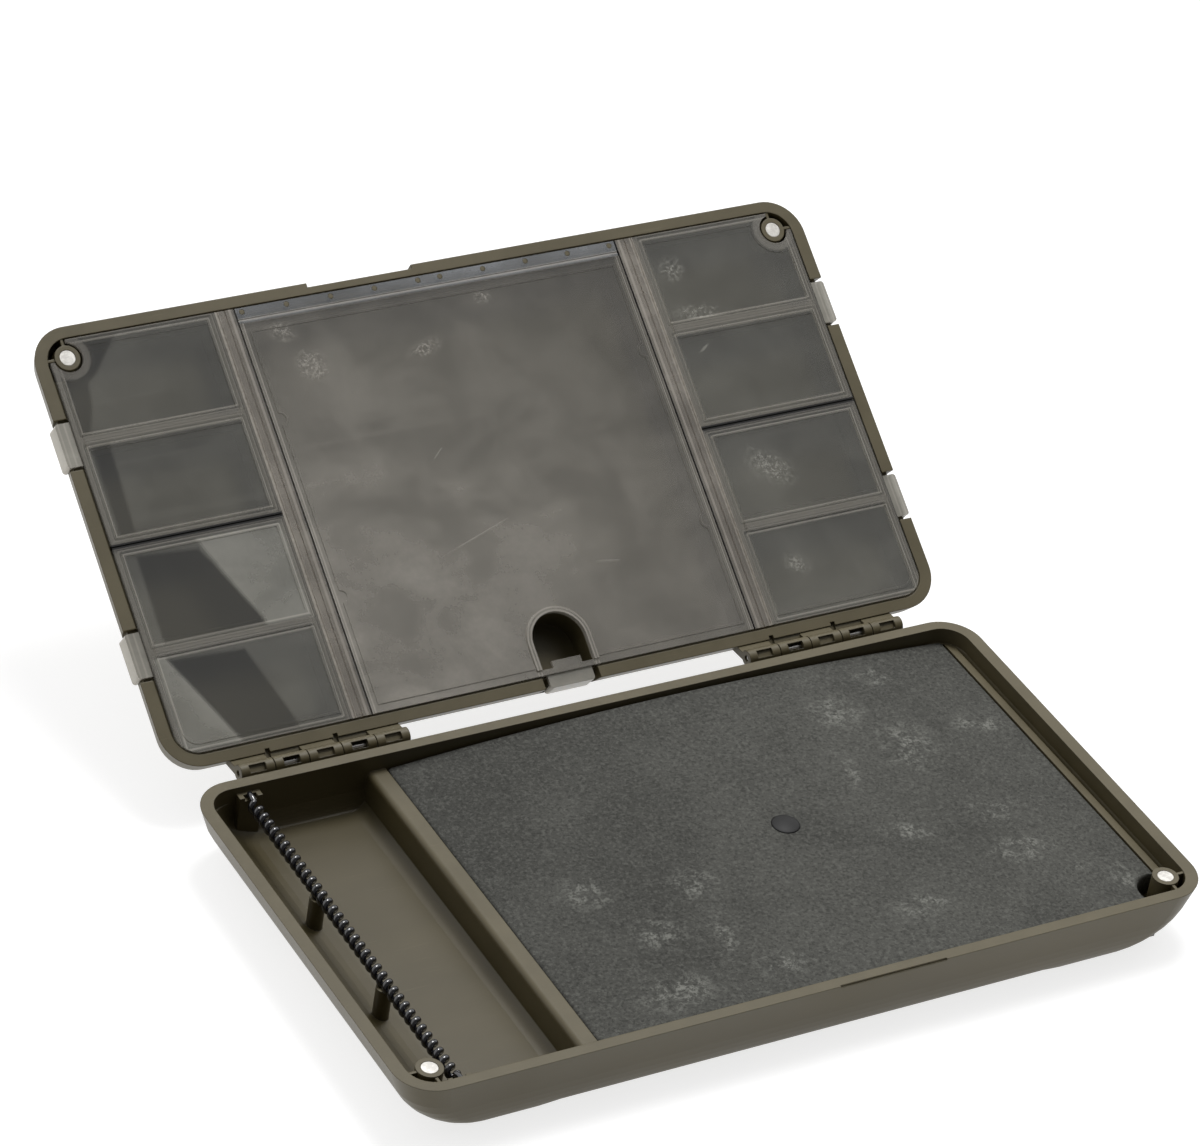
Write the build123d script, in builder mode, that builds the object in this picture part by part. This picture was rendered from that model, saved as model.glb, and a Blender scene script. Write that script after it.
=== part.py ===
from build123d import *
import math
import os

# Hinged rig box: a deep base tray and a shallow lid of lidded cells.
# Origin: on the table, midway between the base's front and the open lid's far edge, and midway in X.
# X to the right, Y from the base to the lid, Z up.
# The lid and all that it carries are drawn shut, over the base, then turned open about the hinge.

# Box as a whole
WIDTH = 350.0
DEPTH = 184.3
BASE_HEIGHT = 26.5
LID_HEIGHT = 14.5
LID_GAP = 0.2  # between the two rims when the box is shut
OPEN_ANGLE = 146.5
CORNER_RADIUS = 16.0
RIM_SIDE = 5.5  # width of the rim's flat at the two ends
RIM_FRONT = 4.75  # and along the front and back

# Base tray: how its walls sweep in towards the table
BASE_WALL = 2.4
BASE_FLOOR = 2.2
BASE_END_DRAFT = 0.36
BASE_END_SWEEP = 20.0
BASE_END_RISE = 17.7
BASE_SIDE_DRAFT = 0.14
BASE_SIDE_SWEEP = 2.8
BASE_SIDE_RISE = 14.0
BASE_FOOT_CORNER = 12.0
ARCH_HEIGHT = 2.2  # the underside's middle stands clear of the table
LEFT_FOOT = 67.0  # from the end of the box to where the arch is full
RIGHT_FOOT = 71.0
ARCH_RAMP = 12.0

# Base compartments
RECESS_DEPTH = 7.0  # from the rim down to the divider, the ledge and the pad's ends
BIN_WIDTH = 75.5  # from the left end to the divider
DIVIDER_WIDTH = 8.0
DIVIDER_ROUND = 2.6
FOOT_REACH = 7.0  # how far the divider's hollow foot runs out into the bin
FOOT_RISE = 2.4
LEDGE_FROM_END = 10.8
LEDGE_WIDTH = 3.4
LEDGE_TALL = 10.0

# Thumb notches in the two front lips
THUMB_LENGTH = 47.0
BASE_THUMB_X = 28.5
LID_THUMB_X = -29.0
THUMB_CUT = 1.8
BASE_THUMB_CUT = 0.7
BASE_THUMB_TALL = 0.8
LID_THUMB_TALL = 6.0

# Magnets and their bosses, one in each front corner of both halves
MAGNET_DIAMETER = 6.6
MAGNET_THICK = 3.0
MAGNET_PLAY = 0.02
MAGNET_EDGE = 0.2
BOSS_DIAMETER = 10.5
BOSS_FROM_END = 14.2
BOSS_FROM_FRONT = 13.0
BOSS_RIB = 1.2
BOSS_RIB_DROP = 0.4

# Foam pad, crowned between the divider and the ledge
FOAM_CLEARANCE = 0.3
CROWN_DEPTH = 1.9
PAD_CORNER_NOTCH = 9.6
STUD_HEAD = 11.5
STUD_DOME = 1.0
STUD_STEM = 4.0
STUD_SEAT = 4.0

# Rig spring: one close-wound wire along the left bin
SPRING_DIAMETER = 5.6
WIRE_DIAMETER = 1.75
SPRING_PITCH = 2.21
SPRING_END_GAP = 1.0
SPRING_FROM_END = 24.0
SPRING_BELOW_RIM = 5.5
SPRING_PLAY = 0.05
TAIL_RISE = 2.4
TAIL_RUN = 1.9
BRACKET_WIDTH = 9.6
BRACKET_SLOT = 5.4
BRACKET_TOP = 3.0
BRACKET_REACH = 3.5
POST_BELOW_AXIS = 2.0
POST_Y = 27.0
POST_DIAMETER = 6.4

# Hinge: two sets of five knuckles, each set on its own pin
HINGE_BACK = 6.29
HINGE_DROP = 2.86
KNUCKLE_RADIUS = 3.3
KNUCKLE_COUNT = 5
KNUCKLE_PITCH = 14.6
KNUCKLE_GAP = 0.4
HINGE_REACH = 98.0  # from the end of the box to the inner end of its set
PIN_DIAMETER = 2.4
PIN_PLAY = 0.06
PIN_SHORT = 0.6
WINDOW_LENGTH = 7.0
WINDOW_WIDTH = 3.0
WINDOW_FLOOR = 1.9  # from the hinge's axis, where a window is blind
WINDOW_TURN = 38.0  # how far the windows of the open box lean to the front
SMALL_NOTCH = 2.0
SMALL_NOTCH_CUT = 1.5
ARM_ROOT = 6.0
ARM_DROP = 0.6
WEB_PLAY = 0.8  # from the base's knuckles to the lid's shelf behind them
WEB_FACING = 130.0  # the way to the shelf's flat nose, about the hinge's axis
WEB_FROM = 1.0  # how far past the nearest point the nose starts and ends
WEB_REACH = 2.6

# Lid tray
LID_WALL = 2.2
LID_FLOOR = 1.8
LID_END_DRAFT = 0.28
LID_END_SWEEP = 8.0
LID_END_RISE = 8.5
LID_SIDE_DRAFT = 0.14
LID_SIDE_SWEEP = 2.6
LID_SIDE_RISE = 8.0
LID_TOP_CORNER = 13.0
SHELF_WIDTH = 4.5  # the step round the cells that carries the covers' edges
SHELF_FRONT = 2.6
CELL_CORNER = 2.0
CELL_SHELF = 2.6  # from the side covers' hinge to their cells
CHANNEL_SHELF = 1.6
CHANNEL_WIDTH = 4.2
CENTRE_SHELF = 2.2
STAKE_LAND = 5.0
MID_WALL = 3.0
BOSS_POCKET = 17.0
BOSS_POCKET_DEPTH = 7.0

# Clear covers, strips and clips
COVER_THICK = 1.4
COVER_PROUD = 0.6  # how far the covers stand out of the lid's rim
COVER_SEAT = 0.1
SIDE_COVER = 73.3  # from a side cover's hinge to its free edge
FRONT_STRIP = 6.6
COVER_EDGE = 0.8  # gap between the covers' edges and the rim
COVER_GAP = 0.5  # gap between two neighbouring covers or strips
STRIP_WIDTH = 8.5
WEB_GAP = 0.06  # gap left where a thin web would join cover and strip
COVER_NOTCH = 6.3
BAND_WIDTH = 6.5
BAND_TALL = 0.5
BEAD_WIDTH = 1.0
BEAD_TALL = 0.3
BEAD_INSET = 3.2
BUMP_RADIUS = 3.6
BUMP_FROM_BAND = 5.2
GROOVE_WIDTH = 0.9
GROOVE_DEPTH = 0.4
STAKE_DIAMETER = 2.2
STAKE_PLAY = 0.1
STAKE_FIRST = 5.0
STAKE_PITCH = 19.7
STAKE_FROM_RIM = 2.6

# Finger well at the back of the centre cover
FINGER_X = 1.2
FINGER_RADIUS = 11.8
FINGER_FROM_REAR = 12.9
FINGER_RIM = 2.3
FINGER_RIM_TALL = 0.7
WELL_WALL = 1.8
BRIDGE_DEPTH = 2.3
TAB_WIDTH = 13.0
TAB_DEPTH = 2.9

# Clips that hold the covers down
CLIP_LENGTH = 18.4
CENTRE_CLIP_LENGTH = 20.0
CLIP_FROM_BAND = 0.9
CLIP_THICK = 1.4
CLIP_LEG = 1.6
CLIP_TALL = 7.0
CLIP_LIP = 0.25
CLIP_PLAY = 0.1
CLIP_CORNER = 1.3
LIP_TALL = 1.2
NOTCH_MARGIN = 1.5
NOTCH_DEPTH = 1.9
NOTCH_POCKET = 8.6
CATCH_RADIUS = 0.5
CATCH_LEVEL = 4.9
CENTRE_NOTCH_MARGIN = 2.6
TONGUE_MARGIN = 0.6

# Places that follow from the sizes above
RIM = BASE_HEIGHT
LID_RIM = BASE_HEIGHT + LID_GAP
LID_TOP = LID_RIM + LID_HEIGHT
HALF_WIDTH = WIDTH / 2
HALF_DEPTH = DEPTH / 2
FLOOR_TOP = ARCH_HEIGHT + BASE_FLOOR
SHELF = LID_RIM + COVER_THICK - COVER_PROUD + COVER_SEAT
CELL_ROOF = LID_TOP - LID_FLOOR
COVER_FACE = LID_RIM - COVER_PROUD
BOSS_X = HALF_WIDTH - BOSS_FROM_END
BOSS_Y = -HALF_DEPTH + BOSS_FROM_FRONT
INNER_X = HALF_WIDTH - RIM_SIDE
INNER_Y = HALF_DEPTH - RIM_FRONT
INNER_CORNER = CORNER_RADIUS - RIM_SIDE
HINGE_Y = HALF_DEPTH + HINGE_BACK
HINGE_Z = RIM - HINGE_DROP
HINGE_AXIS = Axis((0, HINGE_Y, HINGE_Z), (1, 0, 0))
COVER_END_X = INNER_X - COVER_EDGE
COVER_END_Y = INNER_Y - COVER_EDGE
SIDE_HINGE_X = COVER_END_X - SIDE_COVER
FRONT_HINGE_Y = FRONT_STRIP - COVER_END_Y
FINGER_Y = COVER_END_Y - FINGER_FROM_REAR
CLIP_AXIS_X = COVER_END_X + WEB_GAP
CLIP_AXIS_Y = COVER_END_Y + WEB_GAP
CENTRE_EDGE = SIDE_HINGE_X - STRIP_WIDTH - COVER_GAP
CELL_END_X = INNER_X - SHELF_WIDTH
CELL_END_Y = INNER_Y - SHELF_FRONT
CELL_INNER = SIDE_HINGE_X + CELL_SHELF
CHANNEL_OUTER = SIDE_HINGE_X - CHANNEL_SHELF
CHANNEL_INNER = CHANNEL_OUTER - CHANNEL_WIDTH
CENTRE_CELL = CENTRE_EDGE - CENTRE_SHELF
MID_WALL_Y = (CELL_END_Y + MID_WALL / 2) / 2
BUMP_Y = MID_WALL_Y - BUMP_FROM_BAND
CLIP_Y = MID_WALL_Y + CLIP_FROM_BAND
STAKE_COUNT = int((CENTRE_CELL - STAKE_FIRST) / STAKE_PITCH) + 1
STAKE_ROWS = [STAKE_FIRST + STAKE_PITCH * row for row in range(STAKE_COUNT)]
HINGE_INNER_END = HALF_WIDTH - HINGE_REACH
DIVIDER_LEFT = BIN_WIDTH - HALF_WIDTH
LEDGE_LEFT = HALF_WIDTH - LEDGE_FROM_END
ARCH_LEFT = LEFT_FOOT - HALF_WIDTH
ARCH_RIGHT = HALF_WIDTH - RIGHT_FOOT
SPRING_X = SPRING_FROM_END - HALF_WIDTH
SPRING_TURNS = int(2 * (INNER_Y - TAIL_RISE - TAIL_RUN - SPRING_END_GAP) / SPRING_PITCH)
BRIDGE_Y = COVER_END_Y - BRIDGE_DEPTH
CATCH_X = HALF_WIDTH - CLIP_LEG - CLIP_LIP - CLIP_PLAY - CATCH_RADIUS
CATCH_Y = HALF_DEPTH - CLIP_LEG - CLIP_LIP - CLIP_PLAY - CATCH_RADIUS
CLIP_LEVEL = LID_RIM + CLIP_PLAY
NOTCH_HALF = CLIP_LENGTH / 2 + NOTCH_MARGIN
CENTRE_NOTCH_HALF = CENTRE_CLIP_LENGTH / 2 + CENTRE_NOTCH_MARGIN
PAD_LEFT = DIVIDER_LEFT + DIVIDER_WIDTH + FOAM_CLEARANCE
PAD_RIGHT = LEDGE_LEFT - FOAM_CLEARANCE
PAD_X = (PAD_LEFT + PAD_RIGHT) / 2
COIL_RADIUS = (SPRING_DIAMETER - WIRE_DIAMETER) / 2
COIL_START = -SPRING_PITCH * SPRING_TURNS / 2
TAIL_END_Y = -COIL_START + TAIL_RISE + TAIL_RUN
TAIL_Z = RIM - SPRING_BELOW_RIM + COIL_RADIUS


def sweep_in(drop, height, draft, sweep, rise):
    """How far a wall has come in at a drop from its rim: a straight draft, then a quarter ellipse."""
    inset = draft * drop
    if drop > height - rise:
        share = (drop - height + rise) / rise
        inset += sweep * (1 - math.sqrt(max(0.0, 1 - share * share)))
    return inset


def tub(rim, way, height, ends, sides, corners, start=0.0, wall=0.0, least=(0.0, 0.0)):
    """Solid tub lofted through rounded rectangles, from its rim (way -1 down, +1 up) to its floor."""
    steps = (0.2, 0.38, 0.53, 0.66, 0.77, 0.86, 0.93, 0.975, 1.0)
    rows = [start] + [start + (height - start) * step for step in steps]
    with BuildPart() as solid:
        for drop in rows:
            inset_x = max(sweep_in(drop, height, *ends) + wall, least[0])
            inset_y = max(sweep_in(drop, height, *sides) + wall, least[1])
            radius = corners[0] + (corners[1] - corners[0]) * drop / height - wall
            with BuildSketch(Plane.XY.offset(rim + way * drop)):
                RectangleRounded(WIDTH - 2 * inset_x, DEPTH - 2 * inset_y, radius)
        loft(ruled=True)
    return solid.part


def block(x0, x1, y0, y1, z0, z1, mode=Mode.ADD):
    """Box between two corners, given in any order, for the builder in use."""
    x0, x1 = min(x0, x1), max(x0, x1)
    y0, y1 = min(y0, y1), max(y0, y1)
    with BuildSketch(Plane.XY.offset(z0), mode=Mode.PRIVATE) as outline:
        with Locations(((x0 + x1) / 2, (y0 + y1) / 2)):
            Rectangle(x1 - x0, y1 - y0)
    extrude(outline.sketch, amount=z1 - z0, dir=(0, 0, 1), mode=mode)


def rod(x, y, z0, z1, diameter, mode=Mode.ADD):
    """Upright cylinder between two levels, for the builder in use."""
    with BuildSketch(Plane.XY.offset(z0), mode=Mode.PRIVATE) as outline:
        with Locations((x, y)):
            Circle(diameter / 2)
    extrude(outline.sketch, amount=z1 - z0, dir=(0, 0, 1), mode=mode)


def write(part, label, with_lid=False):
    """Turn a piece open with the lid if it rides there, set it about the origin, label and write it."""
    placed = part.rotate(HINGE_AXIS, -OPEN_ANGLE) if with_lid else part
    placed = placed.moved(Location((0, -origin_y, 0)))
    placed.label = label
    export_step(placed, f"parts/{label}.step")


BASE_ENDS = (BASE_END_DRAFT, BASE_END_SWEEP, BASE_END_RISE)
BASE_SIDES = (BASE_SIDE_DRAFT, BASE_SIDE_SWEEP, BASE_SIDE_RISE)
BASE_CORNERS = (CORNER_RADIUS, BASE_FOOT_CORNER)
LID_ENDS = (LID_END_DRAFT, LID_END_SWEEP, LID_END_RISE)
LID_SIDES = (LID_SIDE_DRAFT, LID_SIDE_SWEEP, LID_SIDE_RISE)
LID_CORNERS = (CORNER_RADIUS, LID_TOP_CORNER)


def base_inside(clearance=0.0):
    """The room inside the base below its recess, its walls drawn in by a clearance."""
    depth = RIM - FLOOR_TOP
    least = (RIM_SIDE + clearance, RIM_FRONT + clearance)
    return tub(RIM, -1, depth, BASE_ENDS, BASE_SIDES, BASE_CORNERS, start=RECESS_DEPTH,
               wall=BASE_WALL + clearance, least=least)


def knuckle_span(side, index):
    """Left and right ends of one knuckle, counted outwards from the middle of the box."""
    near = HINGE_INNER_END + index * KNUCKLE_PITCH
    far = near + KNUCKLE_PITCH - KNUCKLE_GAP
    return (near, far) if side > 0 else (-far, -near)


def knuckle(span, outline, window_turn, window_floor, bore):
    """One knuckle with its arm to the wall, its bore and its window, for the builder in use."""
    x0, x1 = span
    with BuildSketch(Plane.YZ.offset(x0), mode=Mode.PRIVATE) as arm:
        with BuildLine():
            Polyline(*outline, close=True)
        make_face()
        with Locations((HINGE_Y, HINGE_Z)):
            Circle(KNUCKLE_RADIUS)
    extrude(arm.sketch, amount=x1 - x0, dir=(1, 0, 0))
    with BuildSketch(Plane.YZ.offset(x0 - KNUCKLE_GAP), mode=Mode.PRIVATE) as hole:
        with Locations((HINGE_Y, HINGE_Z)):
            Circle(bore / 2)
    extrude(hole.sketch, amount=x1 - x0 + 2 * KNUCKLE_GAP, dir=(1, 0, 0), mode=Mode.SUBTRACT)
    turn = math.radians(window_turn)
    facing = (0, -math.sin(turn), math.cos(turn))
    middle = Plane(((x0 + x1) / 2, HINGE_Y, HINGE_Z), x_dir=(1, 0, 0), z_dir=facing)
    with BuildSketch(middle.offset(window_floor), mode=Mode.PRIVATE) as window:
        Rectangle(WINDOW_LENGTH, WINDOW_WIDTH)
    extrude(window.sketch, amount=2 * KNUCKLE_RADIUS, mode=Mode.SUBTRACT)


# Outlines of the knuckles' arms, in Y and Z: from inside the wall out to the round of the knuckle
ARM_WALL = HALF_DEPTH - RIM_FRONT / 2
BASE_ARM = [(ARM_WALL, HINGE_Z - ARM_ROOT), (ARM_WALL, HINGE_Z),
            (HINGE_Y - 0.98 * KNUCKLE_RADIUS, HINGE_Z), (HINGE_Y, HINGE_Z),
            (HINGE_Y - 0.2 * KNUCKLE_RADIUS, HINGE_Z - 0.97 * KNUCKLE_RADIUS)]
LID_ARM = [(ARM_WALL, LID_RIM + ARM_DROP), (HALF_DEPTH, LID_RIM + ARM_DROP),
           (HINGE_Y - 0.94 * KNUCKLE_RADIUS, HINGE_Z + 0.3 * KNUCKLE_RADIUS), (HINGE_Y, HINGE_Z),
           (HINGE_Y - 0.2 * KNUCKLE_RADIUS, HINGE_Z + 0.97 * KNUCKLE_RADIUS),
           (ARM_WALL, LID_RIM + ARM_DROP + ARM_ROOT)]
# Outline of the lid's shelf behind the base's knuckles: its nose is flat and stays clear of their round
nose = math.radians(WEB_FACING)
NOSE = [(HINGE_Y + (KNUCKLE_RADIUS + WEB_PLAY) * math.cos(nose) + along * math.sin(nose),
         HINGE_Z + (KNUCKLE_RADIUS + WEB_PLAY) * math.sin(nose) - along * math.cos(nose))
        for along in (WEB_FROM, WEB_REACH)]
LID_WEB = [(ARM_WALL, NOSE[0][1])] + NOSE + [(ARM_WALL, LID_RIM + ARM_DROP + ARM_ROOT)]

# What stands on the base's floor, cut to the outside of the tub: first the divider between bin and pad
with BuildPart() as inner_walls:
    floor = FLOOR_TOP - BASE_FLOOR / 2
    with BuildSketch(Plane.XZ.offset(-INNER_Y)) as divider:
        with Locations((DIVIDER_LEFT + DIVIDER_WIDTH / 2, (floor + RIM - RECESS_DEPTH) / 2)):
            Rectangle(DIVIDER_WIDTH, RIM - RECESS_DEPTH - floor)
        top_left = divider.vertices().sort_by_distance((DIVIDER_LEFT, INNER_Y, RIM - RECESS_DEPTH))[0]
        fillet(top_left, DIVIDER_ROUND)
    extrude(divider.sketch, amount=2 * INNER_Y)
    # Hollow foot that carries the floor up into the divider
    with BuildSketch(Plane.XZ.offset(-INNER_Y)) as foot:
        with BuildLine():
            hollow = ThreePointArc((DIVIDER_LEFT - FOOT_REACH, FLOOR_TOP),
                                   (DIVIDER_LEFT - 0.45 * FOOT_REACH, FLOOR_TOP + 0.24 * FOOT_RISE),
                                   (DIVIDER_LEFT, FLOOR_TOP + FOOT_RISE))
            inner_x = DIVIDER_LEFT + DIVIDER_WIDTH / 2
            Polyline(hollow @ 1, (inner_x, FLOOR_TOP + FOOT_RISE), (inner_x, floor),
                     (DIVIDER_LEFT - FOOT_REACH, floor), hollow @ 0)
        make_face()
    extrude(foot.sketch, amount=2 * INNER_Y)
    # Ledge that stops the pad on the right
    block(LEDGE_LEFT, LEDGE_LEFT + LEDGE_WIDTH, -INNER_Y, INNER_Y,
          RIM - RECESS_DEPTH - LEDGE_TALL, RIM - RECESS_DEPTH)
    # Bosses for the magnets, each tied to both walls by a thin rib
    for side in (-1, 1):
        rod(side * BOSS_X, BOSS_Y, floor, RIM, BOSS_DIAMETER)
        block(side * BOSS_X, side * (INNER_X + RIM_SIDE / 4),
              BOSS_Y - BOSS_RIB / 2, BOSS_Y + BOSS_RIB / 2, RIM - RECESS_DEPTH, RIM - BOSS_RIB_DROP)
        block(side * BOSS_X - BOSS_RIB / 2, side * BOSS_X + BOSS_RIB / 2,
              -INNER_Y - RIM_FRONT / 4, BOSS_Y, RIM - RECESS_DEPTH, RIM - BOSS_RIB_DROP)
    # Brackets at the two ends of the rig spring and two posts under it
    for end in (-1, 1):
        block(SPRING_X - BRACKET_WIDTH / 2, SPRING_X + BRACKET_WIDTH / 2, end * (INNER_Y - BRACKET_REACH),
              end * (INNER_Y + RIM_FRONT / 4), floor, RIM - BRACKET_TOP)
        rod(SPRING_X, end * POST_Y, floor, RIM - SPRING_BELOW_RIM - POST_BELOW_AXIS, POST_DIAMETER)
    # Seat for the stud that holds the pad down
    rod(PAD_X, 0, floor, FLOOR_TOP + STUD_SEAT, 2 * STUD_STEM)
    add(tub(RIM, -1, BASE_HEIGHT, BASE_ENDS, BASE_SIDES, BASE_CORNERS), mode=Mode.INTERSECT)

# Base tray
with BuildPart() as base_tray:
    add(tub(RIM, -1, BASE_HEIGHT, BASE_ENDS, BASE_SIDES, BASE_CORNERS))
    # Shallow recess for all the inside, then the deep room below it
    with BuildSketch(Plane.XY.offset(RIM)):
        RectangleRounded(2 * INNER_X, 2 * INNER_Y, INNER_CORNER)
    extrude(amount=-RECESS_DEPTH, mode=Mode.SUBTRACT)
    add(base_inside(), mode=Mode.SUBTRACT)
    add(inner_walls.part)
    # Magnet pockets, the slots for the spring's tails, the round it lies in, and the stud's hole
    for side in (-1, 1):
        rod(side * BOSS_X, BOSS_Y, RIM - MAGNET_THICK, RIM, MAGNET_DIAMETER, Mode.SUBTRACT)
    for end in (-1, 1):
        block(SPRING_X - BRACKET_SLOT / 2, SPRING_X + BRACKET_SLOT / 2, end * (INNER_Y - 2 * BRACKET_REACH),
              end * TAIL_END_Y, TAIL_Z - WIRE_DIAMETER / 2 - SPRING_PLAY, RIM, Mode.SUBTRACT)
    with BuildSketch(Plane.XZ.offset(INNER_Y - BRACKET_REACH)):
        with Locations((SPRING_X, RIM - SPRING_BELOW_RIM)):
            Circle(SPRING_DIAMETER / 2 + SPRING_PLAY)
    extrude(amount=-2 * (INNER_Y - BRACKET_REACH), mode=Mode.SUBTRACT)
    rod(PAD_X, 0, FLOOR_TOP, FLOOR_TOP + STUD_SEAT, STUD_STEM, Mode.SUBTRACT)
    # Thumb notch in the front lip, right of the middle
    block(BASE_THUMB_X - THUMB_LENGTH / 2, BASE_THUMB_X + THUMB_LENGTH / 2, -HALF_DEPTH - THUMB_CUT,
          -HALF_DEPTH + BASE_THUMB_CUT, RIM - BASE_THUMB_TALL, RIM, Mode.SUBTRACT)
    # The underside stands on a foot at each end and is arched between them
    with BuildSketch(Plane.XZ.offset(-HALF_DEPTH)):
        with BuildLine():
            Polyline((ARCH_LEFT - ARCH_RAMP, 0), (ARCH_LEFT, ARCH_HEIGHT), (ARCH_RIGHT, ARCH_HEIGHT),
                     (ARCH_RIGHT + ARCH_RAMP, 0), close=True)
        make_face()
    extrude(amount=DEPTH, mode=Mode.SUBTRACT)
    # The second and fourth knuckle of each set belong to the base and grip the pin
    for side in (-1, 1):
        for index in range(1, KNUCKLE_COUNT, 2):
            knuckle(knuckle_span(side, index), BASE_ARM, WINDOW_TURN, 0, PIN_DIAMETER)

# Hinge pins, one straight steel wire through each set of knuckles
hinge_pins = {}
for side, name in ((-1, "left"), (1, "right")):
    near, far = HINGE_INNER_END, HINGE_INNER_END + KNUCKLE_COUNT * KNUCKLE_PITCH - KNUCKLE_GAP
    with BuildPart() as pin:
        with BuildSketch(Plane.YZ.offset(near + PIN_SHORT if side > 0 else -far + PIN_SHORT)):
            with Locations((HINGE_Y, HINGE_Z)):
                Circle(PIN_DIAMETER / 2)
        extrude(amount=far - near - 2 * PIN_SHORT)
        chamfer(pin.edges().filter_by(GeomType.CIRCLE), PIN_DIAMETER / 10)
    hinge_pins[name] = pin.part

# Foam pad: the room between divider and ledge, up to a crown, cut back round the right boss
with BuildPart() as foam_pad:
    add(base_inside(FOAM_CLEARANCE))
    with BuildSketch(Plane.XY.offset(RIM - RECESS_DEPTH)):
        RectangleRounded(2 * (INNER_X - FOAM_CLEARANCE), 2 * (INNER_Y - FOAM_CLEARANCE),
                         INNER_CORNER - FOAM_CLEARANCE)
    extrude(amount=RECESS_DEPTH)
    with BuildSketch(Plane.XZ.offset(-HALF_DEPTH)):
        with BuildLine():
            crown = ThreePointArc((PAD_LEFT, RIM - RECESS_DEPTH), (PAD_X, RIM - CROWN_DEPTH),
                                  (PAD_RIGHT, RIM - RECESS_DEPTH))
            Polyline(crown @ 1, (PAD_RIGHT, 0), (PAD_LEFT, 0), crown @ 0)
        make_face()
    extrude(amount=DEPTH, mode=Mode.INTERSECT)
    rod(BOSS_X, BOSS_Y, 0, RIM, 2 * PAD_CORNER_NOTCH, Mode.SUBTRACT)
    block(BOSS_X, HALF_WIDTH, -HALF_DEPTH, BOSS_Y, 0, RIM, Mode.SUBTRACT)
    rod(PAD_X, 0, 0, RIM, STUD_STEM + 2 * FOAM_CLEARANCE, Mode.SUBTRACT)
    rod(PAD_X, 0, 0, FLOOR_TOP + STUD_SEAT + FOAM_CLEARANCE, 2 * (STUD_STEM + FOAM_CLEARANCE), Mode.SUBTRACT)

# Domed stud at the pad's middle, its stem pushed into the seat on the floor
with BuildPart() as pad_stud:
    head_z = RIM - CROWN_DEPTH
    with BuildSketch(Plane.XZ):
        with BuildLine():
            dome = ThreePointArc((-STUD_HEAD / 2, head_z), (0, head_z + STUD_DOME), (STUD_HEAD / 2, head_z))
            Line(dome @ 1, dome @ 0)
        make_face()
        with Locations((0, (head_z + FLOOR_TOP) / 2)):
            Rectangle(STUD_STEM, head_z - FLOOR_TOP)
        split(bisect_by=Plane.YZ)
    revolve(axis=Axis.Z)
stud = pad_stud.part.moved(Location((PAD_X, 0, 0)))


def helix(turn):
    """Point on the spring's centre line, and its direction there, after so many turns."""
    angle = 2 * math.pi * turn
    point = Vector(SPRING_X + COIL_RADIUS * math.sin(angle), COIL_START + SPRING_PITCH * turn,
                   RIM - SPRING_BELOW_RIM + COIL_RADIUS * math.cos(angle))
    heading = Vector(math.cos(angle), SPRING_PITCH / (2 * math.pi * COIL_RADIUS), -math.sin(angle))
    return point, heading.normalized()


def biarc(start, heading, end, arrival):
    """Two tangent arcs that leave a point and reach another in given directions."""
    chord = end - start
    both = heading + arrival
    across = chord.dot(both)
    bend = 2 * (1 - heading.dot(arrival))
    reach = (math.sqrt(across * across + bend * chord.dot(chord)) - across) / bend
    joint = (start + heading * reach + end - arrival * reach) * 0.5
    first_arc = TangentArc(start, joint, tangent=heading)
    TangentArc(joint, end, tangent=first_arc % 1)


# Rig spring: close-wound wire, drawn as biarcs of half a turn, with a straight tail at each end
with BuildPart() as rig_spring:
    with BuildLine() as coil:
        first, first_way = helix(0)
        tail = first - Vector(0, TAIL_RISE, 0)
        Line(tail - Vector(0, TAIL_RUN, 0), tail)
        biarc(tail, Vector(0, 1, 0), *helix(0.25))
        for half in range(2 * SPRING_TURNS - 1):
            biarc(*helix(0.25 + half / 2), *helix(0.75 + half / 2))
        last, last_way = helix(SPRING_TURNS)
        tail = last + Vector(0, TAIL_RISE, 0)
        biarc(*helix(SPRING_TURNS - 0.25), tail, Vector(0, 1, 0))
        Line(tail, tail + Vector(0, TAIL_RUN, 0))
    with BuildSketch(Plane(coil.line @ 0, z_dir=coil.line % 0)):
        Circle(WIRE_DIAMETER / 2)
    sweep(path=coil.line)
samples = [helix(step / 24)[0] for step in range(24 * SPRING_TURNS)]
least = min((samples[i] - samples[j]).length for i in range(len(samples))
            for j in range(i + 12, min(i + 40, len(samples))))
print("spring: turns", SPRING_TURNS, "least gap between turns", round(least - WIRE_DIAMETER, 3))

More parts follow.
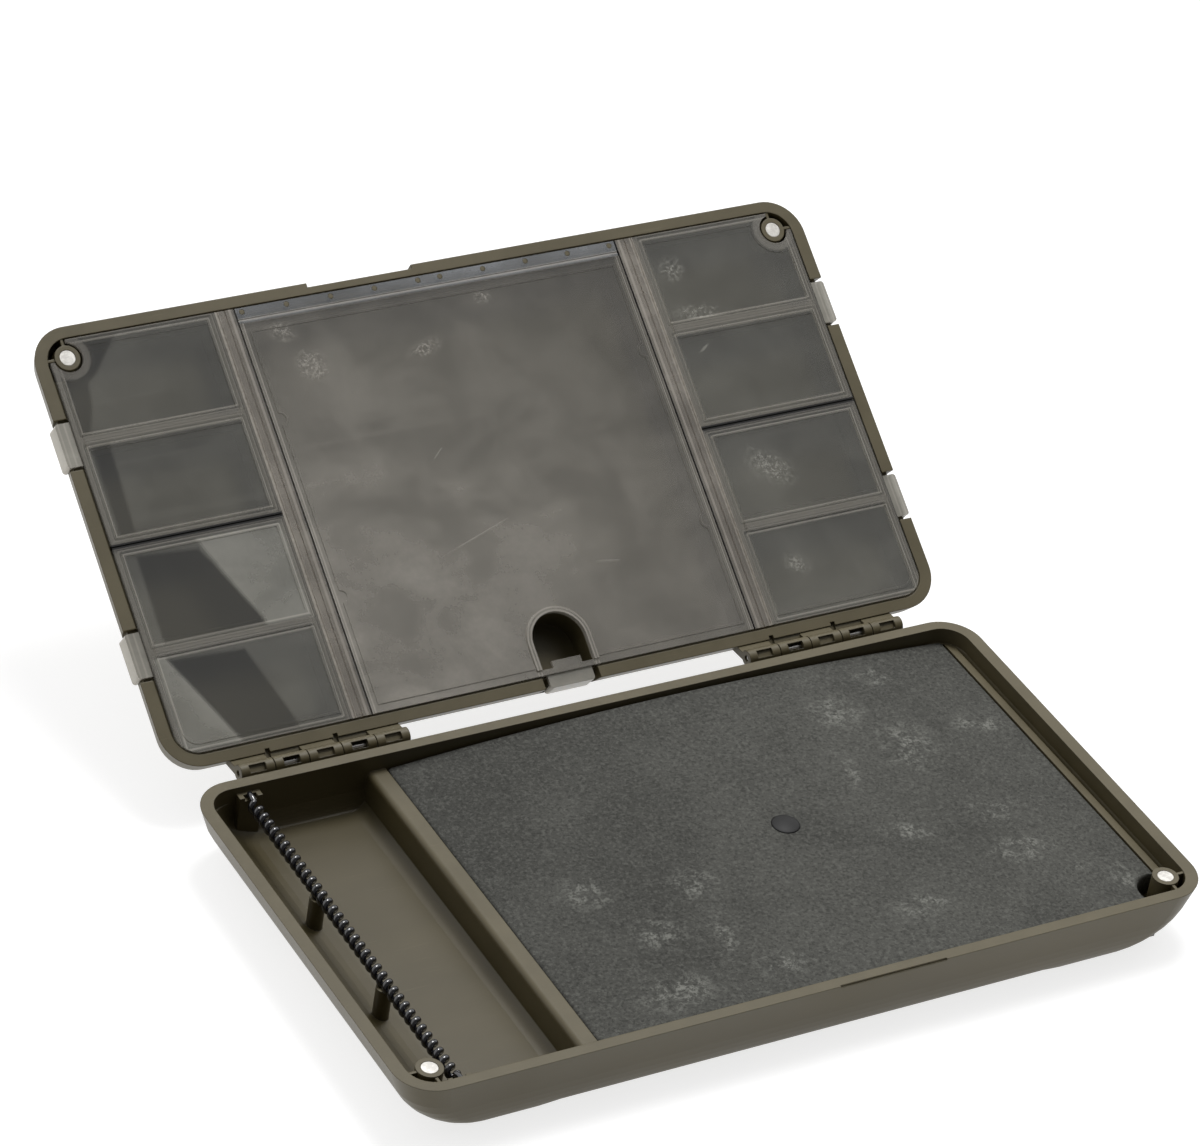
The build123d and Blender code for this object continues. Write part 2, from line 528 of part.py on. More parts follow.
# Lid tray, drawn shut: its rim looks down on the base's
with BuildPart() as lid_tray:
    add(tub(LID_RIM, 1, LID_HEIGHT, LID_ENDS, LID_SIDES, LID_CORNERS))
    # Shallow recess that the clear covers lie in
    with BuildSketch(Plane.XY.offset(LID_RIM)):
        RectangleRounded(2 * INNER_X, 2 * INNER_Y, INNER_CORNER)
    extrude(amount=SHELF - LID_RIM, mode=Mode.SUBTRACT)
    # Four cells and a narrow channel on each side, and one wide cell in the middle
    with BuildSketch(Plane.XY.offset(SHELF)):
        rows = [0.0, MID_WALL_Y, CELL_END_Y + MID_WALL / 2]
        for side in (-1, 1):
            for end in (-1, 1):
                for near, far in zip(rows, rows[1:]):
                    length = far - near - MID_WALL
                    with Locations((side * (CELL_INNER + CELL_END_X) / 2, end * (near + far) / 2)):
                        RectangleRounded(CELL_END_X - CELL_INNER, length, CELL_CORNER)
            with Locations((side * (CHANNEL_INNER + CHANNEL_OUTER) / 2, 0)):
                Rectangle(CHANNEL_OUTER - CHANNEL_INNER, 2 * CELL_END_Y)
        with Locations((0, (CELL_END_Y - INNER_Y + STAKE_LAND) / 2)):
            RectangleRounded(2 * CENTRE_CELL, CELL_END_Y + INNER_Y - STAKE_LAND, CELL_CORNER)
    extrude(amount=CELL_ROOF - SHELF, mode=Mode.SUBTRACT)
    # Wall round the finger well, open to the rear wall
    with BuildSketch(Plane.XY.offset(SHELF)):
        with Locations((FINGER_X, FINGER_Y)):
            Circle(FINGER_RADIUS + WELL_WALL)
        with Locations((FINGER_X, (FINGER_Y + INNER_Y) / 2)):
            Rectangle(2 * (FINGER_RADIUS + WELL_WALL), INNER_Y - FINGER_Y)
        with Locations((FINGER_X, FINGER_Y)):
            Circle(FINGER_RADIUS, mode=Mode.SUBTRACT)
        with Locations((FINGER_X, (FINGER_Y + CELL_END_Y) / 2)):
            Rectangle(2 * FINGER_RADIUS, CELL_END_Y - FINGER_Y, mode=Mode.SUBTRACT)
    extrude(amount=CELL_ROOF - SHELF)
    # Corner pockets with the magnets' bosses and ribs
    with BuildSketch(Plane.XY.offset(LID_RIM)):
        RectangleRounded(2 * INNER_X, 2 * INNER_Y, INNER_CORNER)
        with BuildSketch(mode=Mode.PRIVATE) as corners:
            with Locations((-INNER_X, -INNER_Y), (INNER_X, -INNER_Y)):
                Rectangle(2 * BOSS_POCKET, 2 * BOSS_POCKET)
        add(corners.sketch, mode=Mode.INTERSECT)
    extrude(amount=BOSS_POCKET_DEPTH, mode=Mode.SUBTRACT)
    for side in (-1, 1):
        rod(side * BOSS_X, BOSS_Y, LID_RIM, CELL_ROOF + LID_FLOOR / 4, BOSS_DIAMETER)
        block(side * BOSS_X, side * (INNER_X + RIM_SIDE / 4), BOSS_Y - BOSS_RIB / 2, BOSS_Y + BOSS_RIB / 2,
              LID_RIM + BOSS_RIB_DROP, LID_RIM + BOSS_POCKET_DEPTH)
        block(side * BOSS_X - BOSS_RIB / 2, side * BOSS_X + BOSS_RIB / 2, -INNER_Y - RIM_FRONT / 4, BOSS_Y,
              LID_RIM + BOSS_RIB_DROP, LID_RIM + BOSS_POCKET_DEPTH)
        rod(side * BOSS_X, BOSS_Y, LID_RIM, LID_RIM + MAGNET_THICK, MAGNET_DIAMETER, Mode.SUBTRACT)
    # Thumb notch in the free edge, across from the base's
    block(LID_THUMB_X - THUMB_LENGTH / 2, LID_THUMB_X + THUMB_LENGTH / 2, -HALF_DEPTH - THUMB_CUT,
          -HALF_DEPTH + THUMB_CUT, LID_RIM, LID_RIM + LID_THUMB_TALL, Mode.SUBTRACT)
    # Notches in the ends for the side clips, each with the bead that its clip catches on
    for side in (-1, 1):
        for end in (-1, 1):
            low, high = end * CLIP_Y - NOTCH_HALF, end * CLIP_Y + NOTCH_HALF
            block(side * (COVER_END_X - COVER_EDGE / 2), side * WIDTH, low, high,
                  LID_RIM, LID_RIM + NOTCH_DEPTH, Mode.SUBTRACT)
            block(side * CATCH_X, side * WIDTH, low, high, LID_RIM, LID_RIM + NOTCH_POCKET, Mode.SUBTRACT)
            with BuildSketch(Plane.XZ.offset(CLIP_LENGTH / 2 - end * CLIP_Y), mode=Mode.PRIVATE) as bead:
                with Locations((side * CATCH_X, LID_RIM + CATCH_LEVEL)):
                    Circle(CATCH_RADIUS)
            extrude(bead.sketch, amount=CLIP_LENGTH, dir=(0, 1, 0))
    # Notch in the rear wall for the centre clip, with a tongue left standing for it to catch on
    low, high = FINGER_X - CENTRE_NOTCH_HALF, FINGER_X + CENTRE_NOTCH_HALF
    tongue = CENTRE_CLIP_LENGTH / 2 - TONGUE_MARGIN
    block(low, high, COVER_END_Y - COVER_EDGE / 2, DEPTH, LID_RIM, LID_RIM + NOTCH_DEPTH, Mode.SUBTRACT)
    block(low, high, INNER_Y - COVER_EDGE / 2, DEPTH, LID_RIM, LID_RIM + NOTCH_POCKET, Mode.SUBTRACT)
    block(FINGER_X - tongue, FINGER_X + tongue, CELL_END_Y, CATCH_Y,
          LID_RIM + NOTCH_DEPTH, LID_RIM + NOTCH_POCKET)
    with BuildSketch(Plane.YZ.offset(FINGER_X - tongue), mode=Mode.PRIVATE) as bead:
        with Locations((CATCH_Y, LID_RIM + CATCH_LEVEL)):
            Circle(CATCH_RADIUS)
    extrude(bead.sketch, amount=2 * tongue, dir=(1, 0, 0))
    # Stakes that hold the centre strip
    for row in STAKE_ROWS:
        for side in (-1, 1):
            rod(side * row, STAKE_FROM_RIM - INNER_Y, COVER_FACE + STAKE_PLAY, SHELF + STAKE_PLAY,
                STAKE_DIAMETER)
    # The first, third and last knuckle of each set belong to the lid and turn on the pin
    for side in (-1, 1):
        for index in range(0, KNUCKLE_COUNT, 2):
            knuckle(knuckle_span(side, index), LID_ARM, OPEN_ANGLE + WINDOW_TURN, WINDOW_FLOOR,
                    PIN_DIAMETER + 2 * PIN_PLAY)
        for index in range(1, KNUCKLE_COUNT, 2):
            left_end, right_end = knuckle_span(side, index)
            with BuildSketch(Plane.YZ.offset(left_end - KNUCKLE_GAP), mode=Mode.PRIVATE) as web:
                with BuildLine():
                    Polyline(*LID_WEB, close=True)
                make_face()
            extrude(web.sketch, amount=right_end - left_end + 2 * KNUCKLE_GAP, dir=(1, 0, 0))
            block(left_end + KNUCKLE_GAP, left_end + KNUCKLE_GAP + SMALL_NOTCH, HALF_DEPTH - SMALL_NOTCH_CUT,
                  DEPTH, LID_RIM, LID_RIM + SMALL_NOTCH_CUT, Mode.SUBTRACT)

# Clear strips that carry the covers' hinges, fixed to the lid: one beside each row of cells
strips = {}
for side, name in ((-1, "left"), (1, "right")):
    with BuildPart() as strip:
        block(side * (CENTRE_EDGE + COVER_GAP), side * SIDE_HINGE_X, -COVER_END_Y, COVER_END_Y,
              COVER_FACE, SHELF)
        for line in (CENTRE_EDGE + COVER_GAP + STRIP_WIDTH / 2, SIDE_HINGE_X - BEAD_WIDTH):
            block(side * line - GROOVE_WIDTH / 2, side * line + GROOVE_WIDTH / 2, -COVER_END_Y, COVER_END_Y,
                  COVER_FACE, COVER_FACE + GROOVE_DEPTH, Mode.SUBTRACT)
    strips[f"{name}_strip"] = strip.part

# The third strip lies along the free edge, with a hole over each stake
with BuildPart() as centre_strip:
    block(-CENTRE_EDGE, CENTRE_EDGE, -COVER_END_Y, FRONT_HINGE_Y, COVER_FACE, SHELF)
    for row in STAKE_ROWS:
        for side in (-1, 1):
            rod(side * row, STAKE_FROM_RIM - INNER_Y, COVER_FACE, SHELF, STAKE_DIAMETER + 2 * STAKE_PLAY,
                Mode.SUBTRACT)
    block(-CENTRE_EDGE, CENTRE_EDGE, FRONT_HINGE_Y - BEAD_WIDTH - GROOVE_WIDTH, FRONT_HINGE_Y - BEAD_WIDTH,
          COVER_FACE, COVER_FACE + GROOVE_DEPTH, Mode.SUBTRACT)
strips["centre_strip"] = centre_strip.part

# Side covers: each shuts a pair of cells and is stiffened by a raised frame and a band over their wall
covers = {}
for side, side_name in ((-1, "left"), (1, "right")):
    for end, end_name in ((-1, "front"), (1, "rear")):
        near_x, near_y = SIDE_HINGE_X + WEB_GAP, COVER_GAP / 2
        with BuildSketch(Plane.XY.offset(COVER_FACE)) as outline:
            with Locations((side * (near_x + COVER_END_X) / 2, end * (near_y + COVER_END_Y) / 2)):
                Rectangle(COVER_END_X - near_x, COVER_END_Y - near_y)
            if end > 0:
                corner = outline.vertices().sort_by_distance((side * COVER_END_X, COVER_END_Y, COVER_FACE))[0]
                fillet(corner, INNER_CORNER - COVER_EDGE)
            else:
                with Locations((side * BOSS_X, BOSS_Y)):
                    Circle(COVER_NOTCH, mode=Mode.SUBTRACT)
                with Locations((side * (BOSS_X + BOSS_FROM_END / 2), BOSS_Y - BOSS_FROM_FRONT / 2)):
                    Rectangle(BOSS_FROM_END + 2 * BOSS_RIB, BOSS_FROM_FRONT + 2 * BOSS_RIB,
                              mode=Mode.SUBTRACT)
        with BuildSketch(Plane.XY.offset(COVER_FACE)) as frame:
            add(outline.sketch)
            offset(amount=-BEAD_INSET, kind=Kind.INTERSECTION, mode=Mode.REPLACE)
        with BuildSketch(Plane.XY.offset(COVER_FACE)) as frame_inside:
            add(outline.sketch)
            offset(amount=-BEAD_INSET - BEAD_WIDTH, kind=Kind.INTERSECTION, mode=Mode.REPLACE)
        with BuildPart() as cover:
            extrude(outline.sketch, amount=COVER_THICK, dir=(0, 0, 1))
            extrude(frame.sketch - frame_inside.sketch, amount=BEAD_TALL, dir=(0, 0, -1))
            band_inset = BEAD_INSET + BEAD_WIDTH / 2
            block(side * (near_x + band_inset), side * (COVER_END_X - band_inset),
                  end * MID_WALL_Y - BAND_WIDTH / 2, end * MID_WALL_Y + BAND_WIDTH / 2,
                  COVER_FACE - BAND_TALL, COVER_FACE + COVER_THICK / 2)
        covers[f"{side_name}_{end_name}_cover"] = cover.part


def finger_outline(radius, rear, level):
    """U shape of the finger well: half round to the front, straight sides, cut off square at the rear."""
    with BuildSketch(Plane.XY.offset(level), mode=Mode.PRIVATE) as shape:
        with Locations((FINGER_X, FINGER_Y)):
            Circle(radius)
        with Locations((FINGER_X, (FINGER_Y + rear) / 2)):
            Rectangle(2 * radius, rear - FINGER_Y)
        with Locations((FINGER_X, rear + radius)):
            Rectangle(2 * radius, 2 * radius, mode=Mode.SUBTRACT)
    return shape.sketch


# Centre cover: a frame with four half-round bumps, and a finger opening bridged at the rear edge
with BuildPart() as centre_cover:
    front, rear = FRONT_HINGE_Y + WEB_GAP, COVER_END_Y
    block(-CENTRE_EDGE, CENTRE_EDGE, front, rear, COVER_FACE, COVER_FACE + COVER_THICK)
    half_x, half_y = CENTRE_EDGE - BEAD_INSET, (rear - front) / 2 - BEAD_INSET
    with BuildSketch(Plane.XY.offset(COVER_FACE)):
        with Locations((0, (front + rear) / 2)):
            Rectangle(2 * half_x, 2 * half_y)
            Rectangle(2 * half_x - 2 * BEAD_WIDTH, 2 * half_y - 2 * BEAD_WIDTH, mode=Mode.SUBTRACT)
        with Locations((-half_x, -BUMP_Y), (half_x, -BUMP_Y), (-half_x, BUMP_Y), (half_x, BUMP_Y)):
            Circle(BUMP_RADIUS)
            Circle(BUMP_RADIUS - BEAD_WIDTH, mode=Mode.SUBTRACT)
        with Locations((0, (front + rear) / 2)):
            Rectangle(2 * half_x, 2 * half_y, mode=Mode.INTERSECT)
        with Locations((FINGER_X, (FINGER_Y + rear) / 2)):
            Rectangle(2 * (FINGER_RADIUS + FINGER_RIM), rear - FINGER_Y, mode=Mode.SUBTRACT)
    extrude(amount=-BEAD_TALL)
    rim_outline = finger_outline(FINGER_RADIUS + FINGER_RIM, BRIDGE_Y, COVER_FACE - FINGER_RIM_TALL)
    extrude(rim_outline, amount=FINGER_RIM_TALL + COVER_THICK / 2, dir=(0, 0, 1))
    hole_outline = finger_outline(FINGER_RADIUS, BRIDGE_Y, COVER_FACE - FINGER_RIM_TALL)
    extrude(hole_outline, amount=FINGER_RIM_TALL + COVER_THICK, dir=(0, 0, 1), mode=Mode.SUBTRACT)
    block(FINGER_X - TAB_WIDTH / 2, FINGER_X + TAB_WIDTH / 2, BRIDGE_Y - TAB_DEPTH,
          BRIDGE_Y + BRIDGE_DEPTH / 2, COVER_FACE, COVER_FACE + COVER_THICK)
covers["centre_cover"] = centre_cover.part


def clip_outline(reach):
    """Points of a clip's section: a plate outwards, a leg along the wall, and a lip that turns in."""
    inner = reach - CLIP_LEG
    return [(0, 0), (reach, 0), (reach, CLIP_TALL), (inner - CLIP_LIP, CLIP_TALL),
            (inner - CLIP_LIP, CLIP_TALL - LIP_TALL / 2), (inner, CLIP_TALL - LIP_TALL), (inner, CLIP_THICK),
            (0, CLIP_THICK)]


# Clips, each hinged on the free edge of its cover and hooked over the lid's wall
clips = {}
for side, side_name in ((-1, "left"), (1, "right")):
    for end, end_name in ((-1, "front"), (1, "rear")):
        with BuildPart() as clip:
            with BuildSketch(Plane.XZ.offset(CLIP_LENGTH / 2 - end * CLIP_Y)):
                with BuildLine():
                    Polyline([(side * (CLIP_AXIS_X + out), CLIP_LEVEL + up)
                              for out, up in clip_outline(HALF_WIDTH - CLIP_AXIS_X)], close=True)
                make_face()
            extrude(amount=-CLIP_LENGTH)
            outer = clip.edges().filter_by(Axis.Z).sort_by(Axis.X)
            fillet(outer[-2:] if side > 0 else outer[:2], CLIP_CORNER)
        clips[f"{side_name}_{end_name}_clip"] = clip.part

# The centre cover's clip is a little longer and stands at the rear wall
with BuildPart() as centre_clip:
    with BuildSketch(Plane.YZ.offset(FINGER_X - CENTRE_CLIP_LENGTH / 2)):
        with BuildLine():
            Polyline([(CLIP_AXIS_Y + out, CLIP_LEVEL + up)
                      for out, up in clip_outline(HALF_DEPTH - CLIP_AXIS_Y)], close=True)
        make_face()
    extrude(amount=CENTRE_CLIP_LENGTH)
    fillet(centre_clip.edges().filter_by(Axis.Z).sort_by(Axis.Y)[-2:], CLIP_CORNER)
clips["centre_clip"] = centre_clip.part

# Magnets, pressed in flush with both rims so that they meet when the box is shut
magnets = {}
for side, name in ((-1, "left"), (1, "right")):
    for half, low in (("base", RIM - MAGNET_THICK), ("lid", LID_RIM)):
        with BuildPart() as magnet:
            rod(side * BOSS_X, BOSS_Y, low, low + MAGNET_THICK, MAGNET_DIAMETER - 2 * MAGNET_PLAY)
            chamfer(magnet.edges().filter_by(GeomType.CIRCLE), MAGNET_EDGE)
        magnets[f"{half}_{name}_magnet"] = magnet.part

# The origin is midway between the base's front and the far edge of the open lid
origin_y = (lid_tray.part.rotate(HINGE_AXIS, -OPEN_ANGLE).bounding_box().max.Y - HALF_DEPTH) / 2

os.makedirs("parts", exist_ok=True)
write(base_tray.part, "base_tray")
write(foam_pad.part, "foam_pad")
write(stud, "pad_stud")
write(rig_spring.part, "rig_spring")
for name, part in hinge_pins.items():
    write(part, f"{name}_hinge_pin")
write(lid_tray.part, "lid_tray", with_lid=True)
for pieces in (strips, covers, clips):
    for name, part in pieces.items():
        write(part, name, with_lid=True)
for name, part in magnets.items():
    write(part, name, with_lid=name.startswith("lid"))
print("origin_y", round(origin_y, 3), "cover face", round(COVER_FACE, 3))
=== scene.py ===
import math

import bpy
import numpy as np
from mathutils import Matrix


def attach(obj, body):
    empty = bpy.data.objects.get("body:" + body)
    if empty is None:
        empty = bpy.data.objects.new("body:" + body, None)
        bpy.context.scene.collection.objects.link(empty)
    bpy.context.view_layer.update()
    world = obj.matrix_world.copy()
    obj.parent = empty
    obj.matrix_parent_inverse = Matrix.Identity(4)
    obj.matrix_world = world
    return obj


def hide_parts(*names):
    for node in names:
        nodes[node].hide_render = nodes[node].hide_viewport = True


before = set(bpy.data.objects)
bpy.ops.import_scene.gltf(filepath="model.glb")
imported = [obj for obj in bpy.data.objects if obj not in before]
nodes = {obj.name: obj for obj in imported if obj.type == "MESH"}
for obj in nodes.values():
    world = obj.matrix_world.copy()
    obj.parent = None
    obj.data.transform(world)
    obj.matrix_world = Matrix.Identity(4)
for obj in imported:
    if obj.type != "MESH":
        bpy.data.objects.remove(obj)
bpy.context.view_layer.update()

# Camera: a long lens that looks down into the open box from its front left
# corner, with the photograph's slight tilt of the horizon.
VIEW_FROM = (-0.955268, -1.351226, 1.256565)
VIEW_TURN = (54.431863, -8.071310, -29.261370)
LENS = 158.265

camera_data = bpy.data.cameras.new("camera")
camera_data.sensor_fit = "HORIZONTAL"
camera_data.sensor_width = 36.0
camera_data.lens = LENS
camera_data.clip_start = 0.05
camera_data.clip_end = 60.0
camera = bpy.data.objects.new("camera", camera_data)
camera.location = VIEW_FROM
camera.rotation_euler = [math.radians(turn) for turn in VIEW_TURN]
bpy.context.collection.objects.link(camera)
bpy.context.scene.camera = camera
bpy.context.scene.view_settings.view_transform = "Standard"

# Studio: a sheet that glows white, a bright backdrop behind, a dark room in front,
# a soft key lamp high at the back right, and a panel that the covers mirror.
FLOOR_REACH = 6.0
FLOOR_GREY, FLOOR_GLOW = 0.42, 0.76
BACKDROP, ROOM = 0.95, 0.10
ROOM_ENDS, BACKDROP_STARTS = -0.35, 0.30  # where -1 lies straight in front, 1 straight behind
KEY = ("key_lamp", (0.52, 0.60, 2.1), (0.80, 0.80), 30.0)
PANEL = ("panel_lamp", (0.98, -0.24, 1.6), (0.95, 1.25), 1.9)


def soft_lamp(name, place, size, power):
    """Rectangular lamp at a place, its face turned to the box."""
    lamp = bpy.data.lights.new(name, "AREA")
    lamp.shape = "RECTANGLE"
    lamp.size, lamp.size_y = size
    lamp.energy = power
    x, y, z = place
    holder = bpy.data.objects.new(name, lamp)
    holder.location = place
    holder.rotation_euler = (math.atan2(math.hypot(x, y), z), 0.0, math.atan2(-y, -x) - math.pi / 2)
    bpy.context.collection.objects.link(holder)


for lamp in (KEY, PANEL):
    soft_lamp(*lamp)

world = bpy.data.worlds.new("surround")
world.use_nodes = True
sky = world.node_tree
split = sky.nodes.new("ShaderNodeSeparateXYZ")
fade = sky.nodes.new("ShaderNodeMapRange")
eye = sky.nodes.new("ShaderNodeLightPath")
shown = sky.nodes.new("ShaderNodeMix")
fade.interpolation_type = "SMOOTHSTEP"
limits = {"From Min": ROOM_ENDS, "From Max": BACKDROP_STARTS, "To Min": ROOM, "To Max": BACKDROP}
for socket, number in limits.items():
    fade.inputs[socket].default_value = number
shown.inputs["B"].default_value = 1.0
sky.links.new(sky.nodes.new("ShaderNodeTexCoord").outputs["Generated"], split.inputs[0])
sky.links.new(split.outputs["Y"], fade.inputs["Value"])
sky.links.new(eye.outputs["Is Camera Ray"], shown.inputs["Factor"])
sky.links.new(fade.outputs["Result"], shown.inputs["A"])
sky.links.new(shown.outputs["Result"], sky.nodes["Background"].inputs["Strength"])
sky.nodes["Background"].inputs["Color"].default_value = (1.0, 1.0, 1.0, 1.0)
bpy.context.scene.world = world

floor_material = bpy.data.materials.new("white_sheet")
floor_material.use_nodes = True
floor_shader = floor_material.node_tree.nodes["Principled BSDF"]
floor_shader.inputs["Base Color"].default_value = (FLOOR_GREY, FLOOR_GREY, FLOOR_GREY, 1.0)
floor_shader.inputs["Roughness"].default_value = 0.9
floor_shader.inputs["Specular IOR Level"].default_value = 0.0
floor_shader.inputs["Emission Color"].default_value = (1.0, 1.0, 1.0, 1.0)
floor_shader.inputs["Emission Strength"].default_value = FLOOR_GLOW
floor_mesh = bpy.data.meshes.new("floor")
edge = FLOOR_REACH
floor_mesh.from_pydata(
    [(-edge, -edge, 0.0), (edge, -edge, 0.0), (edge, edge, 0.0), (-edge, edge, 0.0)], [], [(0, 1, 2, 3)]
)
floor_mesh.materials.append(floor_material)
floor = bpy.data.objects.new("floor", floor_mesh)
bpy.context.collection.objects.link(floor)

# Base tray and lid tray: two injection mouldings in opaque olive brown plastic,
# with a fine spark texture outside, faint flow marks, and upper edges painted paler for rubbed wear and a painted
# sheen.
OLIVE = (0.069, 0.056, 0.026)
OLIVE_LIGHT = (0.086, 0.070, 0.034)
# Scratch colour, and on the tops the colour of rubbed wear and of painted sheen.
OLIVE_RUB_AND_SHEEN = (0.155, 0.132, 0.078)
OLIVE_GLOSS = (0.36, 0.50)
BEVEL = 0.0005  # how far the render rounds the moulded edges
TOP_SOFT = 0.0005  # the painted sheen and wear on the tops fade in over twice this height
ANY_HEIGHT = 1000.0  # a spot has no end up or down


class Finish:
    """A new node material: each call adds one node, joins what it is given, and returns its output."""

    def __init__(self, name):
        self.material = bpy.data.materials.new(name)
        self.material.use_nodes = True
        self.tree = self.material.node_tree
        self.shader = self.tree.nodes["Principled BSDF"]
        coordinates = self.add("ShaderNodeTexCoord")
        self.place, self.normal = coordinates.outputs["Object"], coordinates.outputs["Normal"]

    def add(self, kind, **settings):
        """New node of a kind, with these settings."""
        node = self.tree.nodes.new(kind)
        for name, value in settings.items():
            setattr(node, name, value)
        return node

    def join(self, value, socket):
        """Links an output to the socket, or sets a plain value on it."""
        if isinstance(value, bpy.types.NodeSocket):
            self.tree.links.new(value, socket)
        else:
            socket.default_value = value

    def shift(self, scale=(1.0, 1.0, 1.0), turn=(0.0, 0.0, 0.0), move=(0.0, 0.0, 0.0)):
        """The place, scaled, turned in degrees and moved."""
        node = self.add("ShaderNodeMapping")
        self.join(self.place, node.inputs["Vector"])
        node.inputs["Location"].default_value = move
        node.inputs["Rotation"].default_value = [math.radians(angle) for angle in turn]
        node.inputs["Scale"].default_value = scale
        return node.outputs["Vector"]

    def noise(self, scale, detail=3.0, rough=0.5, vector=None, warp=0.0):
        """Cloudy noise with that many features to the metre."""
        node = self.add("ShaderNodeTexNoise")
        self.join(vector or self.place, node.inputs["Vector"])
        node.inputs["Scale"].default_value = scale
        node.inputs["Detail"].default_value = detail
        node.inputs["Roughness"].default_value = rough
        node.inputs["Distortion"].default_value = warp
        return node.outputs["Fac"]

    def cells(self, scale):
        """Distance to the nearest of many scattered points."""
        node = self.add("ShaderNodeTexVoronoi")
        self.join(self.place, node.inputs["Vector"])
        node.inputs["Scale"].default_value = scale
        return node.outputs["Distance"]

    def span(self, value, low, high, out_low=0.0, out_high=1.0):
        """Value taken from low..high to out_low..out_high, and held there beyond."""
        node = self.add("ShaderNodeMapRange", interpolation_type="SMOOTHSTEP")
        self.join(value, node.inputs["Value"])
        limits = {"From Min": low, "From Max": high, "To Min": out_low, "To Max": out_high}
        for name, number in limits.items():
            node.inputs[name].default_value = number
        return node.outputs["Result"]

    def sum(self, one, other, kind="ADD", third=None):
        """Sum of two values, or what another kind of arithmetic makes of them."""
        node = self.add("ShaderNodeMath", operation=kind)
        self.join(one, node.inputs[0])
        self.join(other, node.inputs[1])
        if third is not None:
            self.join(third, node.inputs[2])
        return node.outputs[0]

    def size(self, value):
        """The value without its sign."""
        return self.sum(value, 0.0, "ABSOLUTE")

    def times(self, one, other):
        """The two values multiplied."""
        return self.sum(one, other, "MULTIPLY")

    def most(self, one, other):
        """The greater of the two values."""
        return self.sum(one, other, "MAXIMUM")

    def less(self, one, other):
        """The first value less the second."""
        return self.sum(one, other, "SUBTRACT")

    def line(self, value, at, half):
        """1 where value is at, falling to 0 half a width away."""
        return self.span(self.size(self.less(value, at)), 0.25 * half, half, 1.0, 0.0)

    def dot(self, vector, way):
        """How far the vector reaches that way."""
        node = self.add("ShaderNodeVectorMath", operation="DOT_PRODUCT")
        self.join(vector, node.inputs[0])
        node.inputs[1].default_value = way
        return node.outputs["Value"]

    def far(self, one, other):
        """Square root of the sum of both squares."""
        node = self.add("ShaderNodeCombineXYZ")
        self.join(one, node.inputs[0])
        self.join(other, node.inputs[1])
        length = self.add("ShaderNodeVectorMath", operation="LENGTH")
        self.join(node.outputs[0], length.inputs[0])
        return length.outputs["Value"]

    def beyond(self, one, other, centre, half):
        """Distance beyond the sides of a rectangle, below 0 within it."""
        past = [
            self.less(self.size(self.less(value, middle)), reach)
            for value, middle, reach in zip((one, other), centre, half)
        ]
        return self.most(*past)

    def patches(self, outlines, soft):
        """1 inside any of the convex outlines, with corners in millimetres, falling to 0 over soft metres."""
        covered = None
        for outline in outlines:
            corners = np.array(outline) / 1000
            beyond = None
            for start, end in zip(corners, np.roll(corners, -1, axis=0)):
                out = np.array((end[1] - start[1], start[0] - end[0])) / math.dist(start, end)
                if out @ (start - corners.mean(axis=0)) < 0:
                    out = -out
                gap = self.less(self.dot(self.place, (out[0], out[1], 0.0)), float(out @ start))
                beyond = gap if beyond is None else self.most(beyond, gap)
            inside = self.span(beyond, -soft, soft, 1.0, 0.0)
            covered = inside if covered is None else self.most(covered, inside)
        return covered

    def tint(self, share, one, other):
        """Colour one, turning to colour other as share goes from 0 to 1."""
        node = self.add("ShaderNodeMix", data_type="RGBA")
        self.join(share, node.inputs["Factor"])
        for value, socket in ((one, node.inputs[6]), (other, node.inputs[7])):
            self.join((*value, 1.0) if isinstance(value, tuple) else value, socket)
        return node.outputs[2]

    def blend(self, share, one, other):
        """Shader one, turning to shader other as share goes from 0 to 1."""
        node = self.add("ShaderNodeMixShader")
        self.join(share, node.inputs["Fac"])
        self.join(one, node.inputs[1])
        self.join(other, node.inputs[2])
        return node.outputs["Shader"]

    def axis(self, which):
        """One coordinate of the place."""
        node = self.add("ShaderNodeSeparateXYZ")
        self.join(self.place, node.inputs["Vector"])
        return node.outputs[which]

    def bump(self, height, depth, strength=1.0, after=None):
        """Relief of that depth in metres, laid over an earlier relief."""
        node = self.add("ShaderNodeBump")
        self.join(height, node.inputs["Height"])
        node.inputs["Distance"].default_value = depth
        node.inputs["Strength"].default_value = strength
        if after:
            self.join(after, node.inputs["Normal"])
        return node.outputs["Normal"]

    def spots(self, places):
        """1 at the middle of each spot (x, y, half width, half depth, turn), falling to 0 at its edge."""
        covered = None
        for x, y, wide, deep, turn in places:
            node = self.add("ShaderNodeMapping", vector_type="TEXTURE")
            self.join(self.place, node.inputs["Vector"])
            node.inputs["Location"].default_value = (x, y, 0.0)
            node.inputs["Rotation"].default_value = (0.0, 0.0, math.radians(turn))
            node.inputs["Scale"].default_value = (wide, deep, ANY_HEIGHT)
            far = self.add("ShaderNodeVectorMath", operation="LENGTH")
            self.join(node.outputs["Vector"], far.inputs[0])
            near = self.span(far.outputs["Value"], 0.15, 1.0, 1.0, 0.0)
            covered = near if covered is None else self.most(covered, near)
        return covered

    def finish(self, colour, rough, normal=None, **fixed):
        """Gives the shader its colour, roughness, relief and fixed values, and returns the material."""
        self.join((*colour, 1.0) if isinstance(colour, tuple) else colour, self.shader.inputs["Base Color"])
        self.join(rough, self.shader.inputs["Roughness"])
        if normal:
            self.join(normal, self.shader.inputs["Normal"])
        for name, value in fixed.items():
            self.shader.inputs[name.replace("_", " ")].default_value = value
        return self.material


